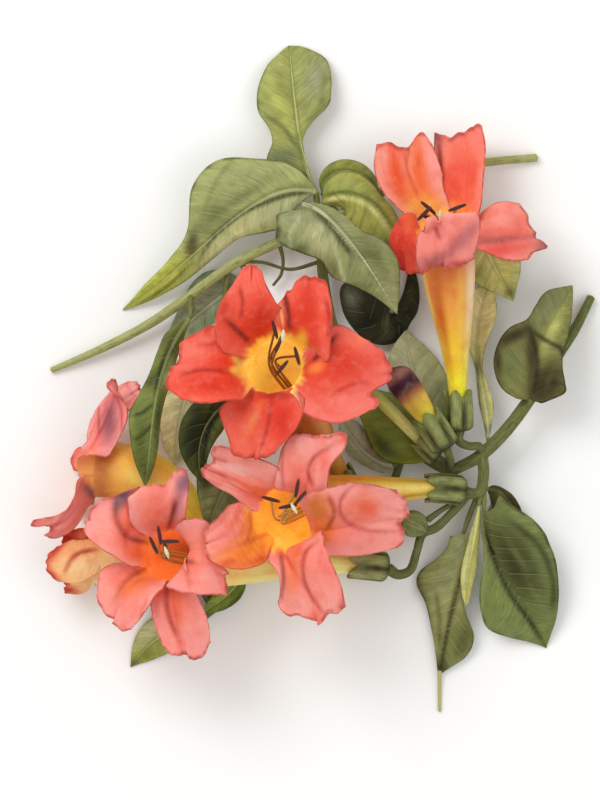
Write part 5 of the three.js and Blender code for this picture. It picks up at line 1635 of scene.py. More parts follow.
            Wash((36, 44, 20), 0.5, 0.75, 0.25, 0.25, 0.85),
            Wash((162, 174, 122), 0.6, -0.6, 0.25, 0.4, 0.85),
            Wash((46, 54, 26), 0.7, -0.1, 0.15, 0.12, 0.7),
        ),
    ),
    Leaf(
        "leaf_centre_pale", Slot.LEAF_PALE, base=(393, 466, 8.2), lead=(378, 466, 8), turn=(352, 448, 6.6),
        tip=(341, 412, 6), left=(0.6, 3, 3.4, 4, 4.5, 4.5, 3, 0.5), right=(0.6, 3, 4, 4.5, 5, 5, 4, 0.5),
        tone=(166, 172, 150), start=(400, 458, 5), fold=4, curl=0.05, wave=(0.3, 2, 0), veins=5,
        washes=(Wash((132, 142, 108), 0.5, 0.7, 0.3, 0.4, 0.7),),
    ),
    Leaf(
        "leaf_under_vine", Slot.LEAF_PALE, base=(244, 280, 3.5), lead=(222, 294, 2.5), turn=(190, 318, 1.6),
        tip=(163, 348, 1), left=(0.8, 7, 10, 10, 8.2, 5.5, 2.8, 0.4),
        right=(0.8, 7, 10, 10, 8.2, 5.5, 2.8, 0.4), tone=(152, 164, 138), start=(242, 261, 7), fold=2,
        curl=0.05, wave=(0.3, 2, 0.4), veins=7,
        washes=(
            Wash((122, 138, 100), 0.5, 0.5, 0.3, 0.4, 0.6),
            Wash((188, 196, 178), 0.4, -0.5, 0.25, 0.4, 0.6),
        ),
    ),
    Leaf(
        "leaf_bottom_left", Slot.LEAF_LIGHT, base=(198, 624, 1.5), lead=(176, 626, 1.4), turn=(152, 636, 1),
        tip=(130, 668, 0.3), left=(0.52, 3.6, 5.5, 6.5, 6.5, 5.6, 3.6, 0.4),
        right=(0.52, 3.6, 5.5, 6.5, 7, 6, 3.6, 0.4), tone=(162, 170, 92), start=(210, 613, 3.5), fold=4,
        curl=0.05, wave=(0.3, 2, 0), veins=6,
        washes=(
            Wash((198, 202, 172), 0.6, -0.6, 0.2, 0.5, 0.85),
            Wash((118, 126, 48), 0.82, 0.4, 0.12, 0.6, 0.8),
            Wash((58, 58, 24), 0.97, 0, 0.06, 1, 0.9),
        ),
    ),
    Leaf(
        "leaf_bottom_middle", Slot.LEAF_LIGHT, base=(242, 572, 6), lead=(239, 588, 8), turn=(224, 600, 8),
        tip=(201, 614, 7), left=(0.32, 2.2, 3.4, 4, 4, 3.4, 2.2, 0.3),
        right=(0.32, 2.2, 3.4, 4, 4, 3.4, 2.2, 0.3), tone=(118, 146, 66), start=(256, 560, 3), fold=6,
        curl=0.05, wave=(0.3, 2, 0.3), veins=5,
        washes=(
            Wash((60, 66, 30), 0.5, 0.9, 0.4, 0.3, 0.8),
            Wash((168, 178, 106), 0.6, -0.2, 0.2, 0.3, 0.6),
        ),
    ),
]

# The lobes' paint holds their own reds, pinks and yellows, and also painted shade and painted highlights:
# purple-grey shade in folds and curls, dark crease lines, and pale patches where light falls.
UPRIGHT_LOBES = (
    Lobe(
        (465, 190, 17), (461, 131, 13), (8, 9.2, 12.5), (7.5, 9.5, 12.5),
        rim=(0.4, 1, 0.6, 0, -0.3, -1, -1, 0.6, 2.4), cup=0.12, centre=(236, 96, 64),
        paint=(
            Patch((224, 66, 40), 0.75, (452, 188), 13, 4, 84),
            Patch((232, 92, 64), 0.6, (466, 160), 11, 5, 92),
            Patch((246, 140, 124), 0.6, (470, 140), 6, 5, 0),
            Patch((132, 78, 82), 0.9, (434, 134), 4.6, 2.4, -55, 1.4),
            Stroke((146, 60, 52), 0.85, ((439, 142), (441, 166), (437, 192)), 0.9, 0.3),
            Patch((250, 182, 84), 0.75, (456, 210), 5.5, 3, 0),
        ),
    ),
    Lobe(
        (404, 195, 17), (408, 146, 14), (8.5, 12, 12.5), (8.5, 11, 11.5),
        rim=(-2, 2.4, 5.6, 3.8, -0.4, -0.7, 0.3, 0.3, 0), cup=0.1, centre=(242, 116, 60),
        margin=(250, 158, 144),
        paint=(
            Patch((232, 84, 40), 0.9, (396, 172), 11, 2.8, 104),
            Patch((236, 104, 44), 0.85, (418, 168), 11, 2.5, 93),
            Patch((246, 150, 84), 0.5, (407, 164), 11, 1.2, 97),
            Patch((248, 168, 150), 0.7, (384, 156), 5.5, 2.2, 88),
            Patch((250, 166, 158), 0.7, (432, 160), 9, 2.2, 96),
            Patch((250, 182, 72), 0.85, (424, 206), 7, 4, 0),
            Stroke((196, 70, 48), 0.5, ((404, 150), (408, 172), (420, 200)), 0.7, 0.3),
        ),
    ),
    Lobe(
        (399, 231, 32), (407, 272, 22), (8, 12, 10), (9, 7.5, 5),
        rim=(-3, -1.5, -0.5, 0, 0, 0, -0.5, -1, -2), cup=0.1, roll=(0, -50), centre=(232, 84, 62),
        margin=(236, 98, 78), humps=(Hump(0.42, -0.9, 0.16, 0.2, 1.4),),
        paint=(
            Patch((218, 56, 40), 0.9, (402, 246), 9, 4, 96),
            Patch((252, 190, 180), 0.9, (388, 208), 3.5, 1.3, -32, 1.5),
            Stroke((150, 50, 42), 0.85, ((382, 207), (392, 214), (401, 224)), 0.5),
            Patch((240, 112, 50), 0.7, (410, 222), 4, 2.4, 80),
        ),
    ),
    Lobe(
        (450, 190, 56), (444, 268, 45), (5.6, 11, 10.5), (4.4, 9.5, 11),
        rim=(3.6, 4.2, 1.2, 0.4, 0, -0.3, -0.6, -1.4, -2.4), cup=-0.3, crease=(3.2, -0.28, 0.16),
        centre=(240, 138, 126), margin=(246, 150, 140),
        humps=(Hump(0.62, 0.2, 0.1, 0.5, 0.9, -24), Hump(0.8, -0.2, 0.06, 0.6, -0.7, -24)),
        paint=(
            # Painted shade: the purple-grey bands where the lobe folds down; painted highlights: the pale
            # pink patches.
            Patch((184, 112, 116), 0.85, (460, 241), 11, 2.6, 46, 1.2),
            Patch((156, 92, 94), 0.8, (430, 262), 6.5, 2.4, 18),
            Patch((242, 140, 130), 0.6, (430, 240), 6, 4, 60),
            Patch((250, 172, 162), 0.75, (456, 214), 5, 2.2, 10),
            Patch((246, 156, 148), 0.6, (465, 258), 4, 2, 10),
            Stroke((176, 76, 70), 0.8, ((415, 228), (411, 246), (412, 264), (418, 280)), 0.6),
            Stroke((170, 78, 74), 0.8, ((434, 226), (440, 240)), 0.8, 0.8),
        ),
    ),
    Lobe(
        (500, 228, 36), (533, 235, 27), (10.5, 13.5, 13.5), (13.5, 14.5, 12),
        rim=(-4, -2.5, 2.5, 6.3, 1, -0.7, -0.7, -0.7, -2), cup=-0.05, centre=(242, 124, 108),
        margin=(246, 146, 132), humps=(Hump(0.7, 0.1, 0.3, 0.2, 0.9), Hump(0.7, -0.25, 0.3, 0.12, -0.8)),
        paint=(
            # Painted shade: the purple-grey band across the lobe and the dark curl at its tail; the pale top
            # is a painted highlight.
            Patch((170, 92, 98), 0.9, (506, 240), 10, 1.3, 8),
            Patch((230, 80, 72), 0.85, (498, 251), 9, 2.6, 6),
            Patch((248, 160, 146), 0.7, (500, 214), 9, 4, 8),
            Patch((234, 106, 90), 0.6, (522, 228), 5, 3, 80),
            Patch((148, 94, 94), 0.9, (546, 248), 4, 3, -60),
        ),
    ),
)
RED_LOBES = (
    Lobe(
        (210, 362, 57), (172, 366, 51), (14.5, 17, 15), (15.5, 15.5, 11),
        rim=(-4.2, -2.4, -2.4, -2.6, -0.3, 0.7, 1.5, -1, -4.5), cup=0.04, roll=(6, 6), reach=1.35,
        humps=(Hump(0.7, -0.45, 0.3, 0.3, 1.1), Hump(0.7, 0.12, 0.35, 0.12, -0.9)),
        paint=(
            Patch((242, 124, 108), 0.8, (200, 344), 10, 4.5, 18),
            Patch((240, 116, 100), 0.6, (184, 360), 5, 5, 90),
            Patch((216, 56, 32), 0.8, (212, 386), 13, 4.6, -6),
            Stroke((160, 44, 32), 0.65, ((180, 376), (206, 370), (240, 374)), 0.8, 0.5),
            Patch((134, 54, 58), 0.9, (243, 350), 4.6, 1.8, 75),
            Patch((252, 196, 70), 0.9, (240, 371), 4, 1.5, 0, 1.5),
            Stroke((190, 52, 36), 0.5, ((226, 336), (214, 344), (196, 346)), 0.8),
        ),
    ),
    Lobe(
        (268, 414, 54.5), (254, 460, 49.8), (13.5, 13, 7), (11, 16, 10),
        rim=(-1.5, 0.6, 0.6, 0.2, -0.4, -1.2, -2, -3, -4), cup=0.1, roll=(0, -6), reach=0.5,
        humps=(Hump(0.6, -0.35, 0.25, 0.2, 0.9), Hump(0.7, 0, 0.3, 0.08, -0.7)),
        paint=(
            Patch((240, 142, 84), 0.85, (251, 424), 9, 1.5, 64),
            Patch((238, 100, 80), 0.6, (236, 444), 6, 4, 60),
            Patch((212, 52, 30), 0.75, (284, 424), 9, 5, 90),
            Stroke((164, 42, 30), 0.6, ((272, 400), (268, 426), (260, 452)), 0.8, 0.5),
            Patch((150, 40, 30), 0.6, (274, 396), 7, 1.4, 0),
        ),
    ),
    Lobe(
        (342, 380, 55), (388, 372, 50), (13.5, 17.5, 13), (15, 17.5, 13),
        rim=(-6.5, -5.2, -7.5, 0.5, 1.2, 1, 0, -1.5, -4), cup=0.03, roll=(6, 6), reach=0.9,
        margin=(246, 122, 110), humps=(Hump(0.6, 0.3, 0.25, 0.3, 0.9), Hump(0.6, -0.45, 0.3, 0.16, -0.8)),
        paint=(
            Patch((246, 128, 112), 0.8, (342, 406), 10, 4.4, -12),
            Patch((214, 56, 32), 0.8, (344, 366), 11, 5, 8),
            Patch((246, 136, 92), 0.75, (360, 339), 5.5, 2.4, 16),
            Patch((250, 140, 60), 0.9, (316, 368), 3.6, 2, 22, 1.4),
            Patch((240, 108, 92), 0.6, (382, 362), 4, 6, 0),
            Stroke((112, 34, 28), 0.85, ((312, 362), (322, 352), (336, 336)), 0.9, 0.5),
            Stroke((180, 50, 36), 0.5, ((330, 396), (352, 384), (370, 384)), 0.8),
        ),
    ),
    Lobe(
        (308, 322, 56), (308, 279, 52), (9, 10.5, 8.5), (15.5, 12.5, 8),
        rim=(-2, -0.8, 0, 0.5, 0.7, 0.7, -0.4, -3, -3), cup=0.08, roll=(6, 6), reach=1.2,
        humps=(Hump(0.6, 0.1, 0.3, 0.4, 0.9),),
        paint=(
            Patch((210, 52, 28), 0.85, (308, 312), 13, 5, 88),
            Patch((236, 100, 82), 0.6, (324, 300), 8, 2.6, 80),
            Stroke((244, 196, 130), 0.95, ((278, 293), (281, 310), (284, 330)), 0.5, -0.4),
            Stroke((112, 36, 30), 0.85, ((284, 292), (288, 310), (290, 330)), 0.9, 0.4),
            Patch((252, 200, 66), 0.95, (301, 341), 4.4, 2.6, 80, 1.6),
            Stroke((150, 40, 30), 0.6, ((326, 300), (330, 320), (328, 340)), 0.9),
        ),
    ),
    Lobe(
        (248, 318, 57), (251, 268, 53), (12.5, 15, 11, 4.5), (11.5, 12, 8.5, 4.5),
        rim=(-1.5, -0.5, 0.3, 0.8, 1, 0.8, 0.2, -0.8, -2), cup=0.08, roll=(6, 6), reach=0.6,
        humps=(Hump(0.7, -0.1, 0.2, 0.3, 0.9), Hump(0.6, 0.4, 0.2, 0.1, -0.6)),
        paint=(
            Patch((240, 106, 88), 0.6, (232, 300), 7, 4, 75),
            Patch((242, 116, 100), 0.75, (253, 278), 5, 3, 90),
            Stroke((146, 40, 34), 0.6, ((240, 288), (243, 304), (240, 320)), 0.8, 0.4),
            Stroke((124, 38, 32), 0.85, ((226, 320), (239, 332), (249, 342)), 1, 0.4),
            Patch((192, 58, 38), 0.75, (224, 312), 2.4, 6, 0),
            Patch((212, 54, 34), 0.7, (262, 316), 7, 4, 88),
            Patch((252, 196, 66), 0.9, (258, 348), 5.5, 2.4, 40, 1.4),
            Patch((252, 200, 70), 0.8, (276, 338), 3, 3, 0, 1.4),
        ),
    ),
)
LOW_LOBES = (
    Lobe(
        (238, 537, 48), (205, 545, 45), (12, 12, 8.5), (10.5, 11, 8),
        rim=(-4.5, -2.2, -0.8, -0.5, 0.2, 0.4, 0.2, -0.4, -2), cup=0.12, roll=(6, 6), reach=1.7,
        humps=(Hump(0.6, -0.3, 0.3, 0.3, 0.8),),
        paint=(
            Patch((246, 146, 58), 0.95, (250, 549), 15, 5.6, 22, 1.8),
            Patch((212, 102, 34), 0.8, (254, 562), 12, 1.6, 20),
            Patch((250, 182, 64), 0.95, (266, 524), 8, 5.5, 0, 1.3),
            Stroke((190, 104, 44), 0.6, ((232, 548), (262, 536), (290, 528)), 1),
            Patch((214, 84, 44), 0.75, (228, 562), 4, 1.5, 10),
            Patch((240, 136, 126), 0.6, (222, 536), 7, 5, 60),
            Stroke((196, 92, 54), 0.6, ((249, 508), (250, 530), (244, 546)), 0.8),
        ),
    ),
    Lobe(
        (308, 580, 45), (316, 620, 41), (17, 18, 16.5), (5.5, 10, 14),
        rim=(-3.5, -1.7, -1.7, -0.3, 1.6, -0.3, -3.1, -3, -5), cup=0.1, roll=(6, 6), reach=0.8,
        crease=(2.4, -0.05, 0.1), humps=(Hump(0.5, 0.45, 0.35, 0.3, 1.5), Hump(0.6, -0.5, 0.35, 0.25, 0.9)),
        paint=(
            Stroke(
                (146, 54, 38), 0.6, ((318, 540), (305, 554), (304, 576), (312, 596), (325, 614)), 0.8, 0.9,
            ),
            Patch((234, 126, 76), 0.75, (294, 566), 10, 2.2, 82),
            Patch((246, 168, 158), 0.6, (296, 604), 5, 3.4, 0),
            Stroke((140, 68, 62), 0.7, ((280, 550), (284, 576), (281, 602)), 0.8),
            Patch((240, 120, 106), 0.6, (330, 566), 9, 3.6, -66),
            Patch((234, 96, 80), 0.6, (318, 617), 3, 3, 0),
            Patch((168, 88, 94), 0.6, (344, 604), 2, 1.6, 0),
        ),
    ),
    Lobe(
        (352, 515, 47), (407, 518, 43), (15, 17, 12.5), (11.5, 14, 12.5),
        rim=(-1.2, 0.3, 0, -1.8, 0, 0.2, -1, -2.4, -5), cup=0.06, roll=(6, 6), reach=0.8,
        humps=(
            Hump(0.55, 0.45, 0.22, 0.35, 1.9),
            Hump(0.6, -0.14, 0.35, 0.08, -1.1),
            Hump(0.6, -0.55, 0.3, 0.3, 0.7),
        ),
        paint=(
            Patch((236, 94, 54), 0.85, (366, 507), 5, 3.4, 0),
            # Painted shade: the dark line along the fold, the grey band on the upper edge, the olive-orange
            # shade on the throat's right side and the dark throat line.
            Stroke(
                (172, 68, 64), 0.6,
                ((354, 484), (342, 497), (340, 512), (352, 525), (374, 531), (402, 531)), 0.8, 0.8,
            ),
            Patch((248, 162, 154), 0.7, (388, 502), 6, 4.5, 70),
            Patch((166, 108, 114), 0.65, (374, 483), 6, 1.2, -5),
            Patch((248, 150, 142), 0.6, (370, 543), 9, 3.4, 0),
            Patch((200, 112, 40), 0.9, (318, 508), 4, 5.5, 0, 1.4),
            Patch((230, 126, 44), 0.9, (322, 530), 5, 4, 30, 1.2),
            Stroke((150, 64, 34), 0.7, ((328, 494), (334, 512), (326, 530)), 0.8),
        ),
    ),
    Lobe(
        (311, 468, 50), (307, 434, 52), (8, 9.4, 9.3, 9), (11.5, 10.5, 9.5, 17),
        rim=(0.5, 0.6, -0.4, -0.6, 0, 0.3, 0.4, 0, -1.6), cup=0.1, roll=(6, 6), reach=0.4,
        humps=(Hump(0.5, -0.6, 0.35, 0.22, 1.8), Hump(0.5, -0.25, 0.4, 0.07, -0.9)),
        paint=(
            Stroke((154, 54, 50), 0.6, ((332, 446), (315, 457), (308, 472), (315, 490)), 0.9, 0.9),
            Patch((250, 164, 156), 0.7, (298, 454), 7, 4, 90),
            Patch((232, 100, 86), 0.65, (298, 482), 5, 2.4, 84),
            Patch((244, 124, 114), 0.6, (328, 470), 7, 2.6, 106),
            Patch((230, 92, 80), 0.65, (346, 438), 4, 1.5, 20),
            Stroke((180, 80, 74), 0.5, ((283, 444), (282, 468), (284, 488)), 0.7),
        ),
    ),
    Lobe(
        (246, 482, 42), (207, 461, 37), (8, 6.5, 6.5), (13.5, 12, 9.5),
        rim=(-3, -0.6, -0.4, -1.4, -1.6, 0, 0.6, 0.8, 0.2), cup=0.1, roll=(6, 6), reach=0.5,
        humps=(Hump(0.6, 0.2, 0.35, 0.15, 1), Hump(0.55, -0.25, 0.3, 0.12, -0.8)),
        paint=(
            Stroke((190, 80, 60), 0.6, ((264, 500), (246, 486), (226, 476), (206, 470)), 0.8, 0.4),
            Patch((252, 198, 190), 0.85, (236, 468), 9, 1.5, -16),
            Patch((236, 116, 66), 0.85, (262, 492), 5.5, 1.9, -28),
            Patch((242, 142, 134), 0.6, (226, 452), 6, 3, -20),
            Stroke((196, 84, 76), 0.6, ((213, 458), (228, 462)), 0.7, 0.4),
        ),
    ),
)
LOWER_LEFT_LOBES = (
    Lobe(
        (118, 530, 43), (87, 521, 37), (8.5, 8, 6.5), (17, 18, 10),
        rim=(-4, -1.6, 0, 0.3, 0.5, 0, -0.5, -1.2, -3), cup=0.15, roll=(6, 6), reach=0.8,
        humps=(Hump(0.66, 0, 0.2, 0.6, 1.3), Hump(0.42, -0.1, 0.08, 0.6, -1.1, 10)),
        paint=(
            # Painted shade: the purple-grey patch and the dark crease line.
            Patch((122, 90, 108), 0.95, (122, 496), 6, 2.6, 66, 1.6),
            Stroke((104, 46, 42), 0.6, ((118, 500), (117, 518), (127, 536), (152, 544)), 1.1, 0.9),
            Patch((234, 112, 84), 0.7, (136, 518), 6, 4, 60),
            Patch((248, 160, 150), 0.7, (102, 526), 7, 4, 90),
            Patch((240, 118, 56), 0.85, (144, 554), 7, 2.4, -5),
        ),
    ),
    Lobe(
        (127, 592, 41), (114, 621, 35), (10, 11, 9.5), (13.5, 15, 11.5),
        rim=(-3, -1, 0, 0.4, 0.5, 0.5, 0.5, -0.4, -2), cup=0.1, roll=(6, 6), reach=0.9,
        crease=(1.6, -0.1, 0.1), humps=(Hump(0.6, 0.4, 0.3, 0.3, 1), Hump(0.6, -0.5, 0.3, 0.25, 0.9)),
        paint=(
            Stroke((134, 54, 32), 0.6, ((172, 564), (146, 569), (126, 582), (112, 604)), 1, 0.9),
            Patch((234, 120, 56), 0.85, (138, 582), 10, 2.6, 34),
            Patch((250, 162, 154), 0.7, (107, 596), 6, 4, 80),
            Patch((244, 138, 128), 0.6, (132, 610), 6, 4, 50),
            Stroke((196, 92, 76), 0.5, ((148, 598), (140, 618)), 0.7),
        ),
    ),
    Lobe(
        (180, 612, 42), (189, 656, 36), (7.5, 9, 9.5), (10, 10, 8.5),
        rim=(-4.5, -1.6, -1, -0.6, 0, 1.4, 0.9, -1, -3.5), cup=0.12, roll=(6, 6), reach=0.7,
        crease=(2.2, -0.25, 0.1), humps=(Hump(0.6, 0.3, 0.3, 0.35, 1.3), Hump(0.6, -0.6, 0.3, 0.22, 0.9)),
        paint=(
            Stroke((124, 46, 32), 0.6, ((178, 568), (168, 588), (168, 612), (180, 642)), 1.1, 0.9),
            Patch((234, 114, 78), 0.75, (177, 602), 11, 1.8, 94),
            Patch((248, 150, 142), 0.6, (192, 640), 6, 4.5, 60),
            Patch((248, 156, 148), 0.6, (160, 626), 7, 1.8, 106),
        ),
    ),
    Lobe(
        (207, 561, 46), (226, 574, 39), (12, 7, 4), (14, 17, 12),
        rim=(-2.6, -0.6, 0, 0, 0.2, 0, -1, -3, -7), cup=0.12, roll=(6, 6), reach=0.4,
        humps=(Hump(0.5, 0.3, 0.3, 0.3, 1),),
        paint=(
            Stroke((112, 42, 32), 0.6, ((180, 540), (182, 558), (196, 563)), 0.9, 0.4),
            Patch((250, 170, 162), 0.7, (210, 576), 8, 2.8, -18),
            Patch((248, 152, 142), 0.6, (190, 534), 7, 2.2, 84),
            Patch((122, 78, 96), 0.9, (194, 603), 2.8, 1.8, 60, 1.3),
            Stroke((200, 96, 84), 0.5, ((186, 566), (190, 586)), 0.8),
        ),
    ),
    Lobe(
        (165, 506, 46), (160, 482, 43), (11, 12, 10.5), (8.5, 9.5, 12.5),
        rim=(1.2, 2, 1.4, -0.8, -1, -0.4, 0.2, 0.6, 0), cup=0.12, roll=(6, 6), reach=0.5,
        humps=(
            Hump(0.55, 0.3, 0.3, 0.3, 1),
            Hump(0.55, -0.45, 0.3, 0.1, -1),
            Hump(0.6, -0.8, 0.3, 0.14, 0.8),
        ),
        paint=(
            # Painted shade: the purple-grey curled corner and side, and the dark spot at the throat.
            Patch((134, 96, 114), 0.92, (186, 482), 4.4, 3, 62, 1.5),
            Patch((148, 100, 110), 0.75, (177, 506), 7, 2, 74),
            Patch((236, 120, 100), 0.65, (154, 504), 7, 5, 84),
            Stroke((150, 62, 52), 0.7, ((165, 538), (171, 520), (178, 498)), 0.9, 0.6),
            Patch((108, 42, 34), 0.8, (168, 541), 5, 1.3, 10),
        ),
    ),
)
FAR_LEFT_LOBES = (
    Lobe(
        (124, 420, 27), (112, 381, 24), (2.5, 4.5, 5), (8, 7, 6),
        rim=(-2, -0.6, 0, 0.3, 0.5, 0.3, 0, -0.8, -2.5), cup=0.15, roll=(0, 60),
        humps=(Hump(0.55, 0, 0.3, 0.25, -1.2),),
        paint=(
            # Painted shade: the purple-grey band down the lobe.
            Patch((144, 84, 98), 0.92, (110, 420), 8.5, 3, 86),
            Patch((246, 152, 146), 0.6, (103, 396), 6, 2.6, 80),
            Stroke((176, 84, 88), 0.7, ((104, 386), (99, 410), (99, 436)), 0.6, 0.3),
            Stroke((180, 90, 92), 0.7, ((117, 394), (122, 414), (122, 438)), 0.6, 0.3),
        ),
    ),
    Lobe(
        (112, 404, 14), (140, 388, 16), (5.5, 6, 5), (5.5, 6, 5),
        rim=(-2, -0.4, 0, 0.4, 0, 0.4, 0, -0.6, -2), cup=0.1, roll=(0, 75),
        paint=(
            Stroke((196, 96, 98), 0.7, ((124, 380), (130, 390), (137, 400)), 0.6),
            Patch((250, 168, 162), 0.7, (138, 388), 4, 3, 0),
        ),
    ),
    Lobe(
        (89, 462, 5.5), (78, 474, 3), (5.5, 7, 6), (5.5, 7, 6), rim=(-2, 0, 0, 0, -2), cup=0.1,
        paint=(Patch((246, 146, 134), 0.95, (86, 466), 6, 9, 0, 1.4),),
    ),
    Lobe(
        (88, 500, 7), (78, 512, 3.5), (4.5, 4, 3), (4.5, 4, 3), rim=(-2, 0, 0, 0, -2), cup=0.1,
        paint=(Patch((244, 142, 130), 0.95, (86, 500), 6, 6, 0, 1.4),),
    ),
    Lobe(
        (88, 520, 26), (44, 530, 16), (8, 6, 5, 6.5), (10, 6, 5, 6.5),
        rim=(0, 1.4, 1.8, 0.2, -2.6, -1, 2, 3, 1.6), cup=0.05,
        humps=(Hump(0.7, 0.1, 0.3, 0.2, 0.8), Hump(0.85, -0.3, 0.15, 0.12, -0.7)),
        paint=(
            Patch((134, 86, 100), 0.9, (90, 492), 4, 1.8, -48),
            Patch((248, 164, 158), 0.7, (58, 518), 8, 2.6, 42),
            Stroke((186, 86, 84), 0.4, ((86, 468), (77, 490), (62, 507), (44, 522)), 0.7, 0.3),
            Patch((240, 150, 110), 0.7, (92, 462), 5, 2, 90),
            Stroke((190, 84, 84), 0.6, ((72, 504), (58, 522), (50, 536)), 0.6, 0.3),
        ),
    ),
)
HALF_OPEN_LOBES = (
    Lobe(
        (84, 542, 11), (62, 540, 12), (6, 7, 6), (6, 7, 6), rim=(-3, -0.5, 0, -0.5, -3), cup=0.1,
        roll=(0, 60),
        paint=(
            Patch((196, 62, 44), 0.95, (66, 535), 8, 2.6, 40, 1.3),
            Patch((196, 70, 50), 0.8, (90, 538), 4, 1.4, -50),
        ),
    ),
    Lobe((84, 552, 4), (60, 552, 3.5), (4.5, 5, 4), (4.5, 5, 4), rim=(-3, -0.5, 0, -0.5, -3), cup=0.2),
    Lobe((84, 578, 4), (62, 580, 3.5), (4.5, 5, 4), (4.5, 5, 4), rim=(-3, -0.5, 0, -0.5, -3), cup=0.2),
    Lobe(
        (82, 590, 13), (64, 590, 13), (5.5, 6.5, 5.5), (5.5, 6.5, 5.5), rim=(-2, -0.5, 0, -0.5, -2),
        cup=0.1, paint=(Patch((196, 70, 50), 0.9, (66, 590), 5, 1.8, -14, 1.3),),
    ),
    Lobe(
        (80, 562, 20), (46, 564, 19), (6.5, 8, 6.5), (6.5, 8, 6.5), rim=(-3, -0.5, 0, -0.5, -3), cup=0.2,
        paint=(
            Stroke((160, 60, 38), 0.85, ((64, 574), (70, 561), (80, 553), (97, 550)), 0.8, 0.5),
            Patch((196, 64, 46), 0.95, (55, 550), 8, 1.9, 52),
            Patch((196, 64, 46), 0.9, (50, 574), 5, 1.5, -40),
            Patch((252, 226, 170), 0.7, (84, 566), 6, 3, 0),
        ),
    ),
)

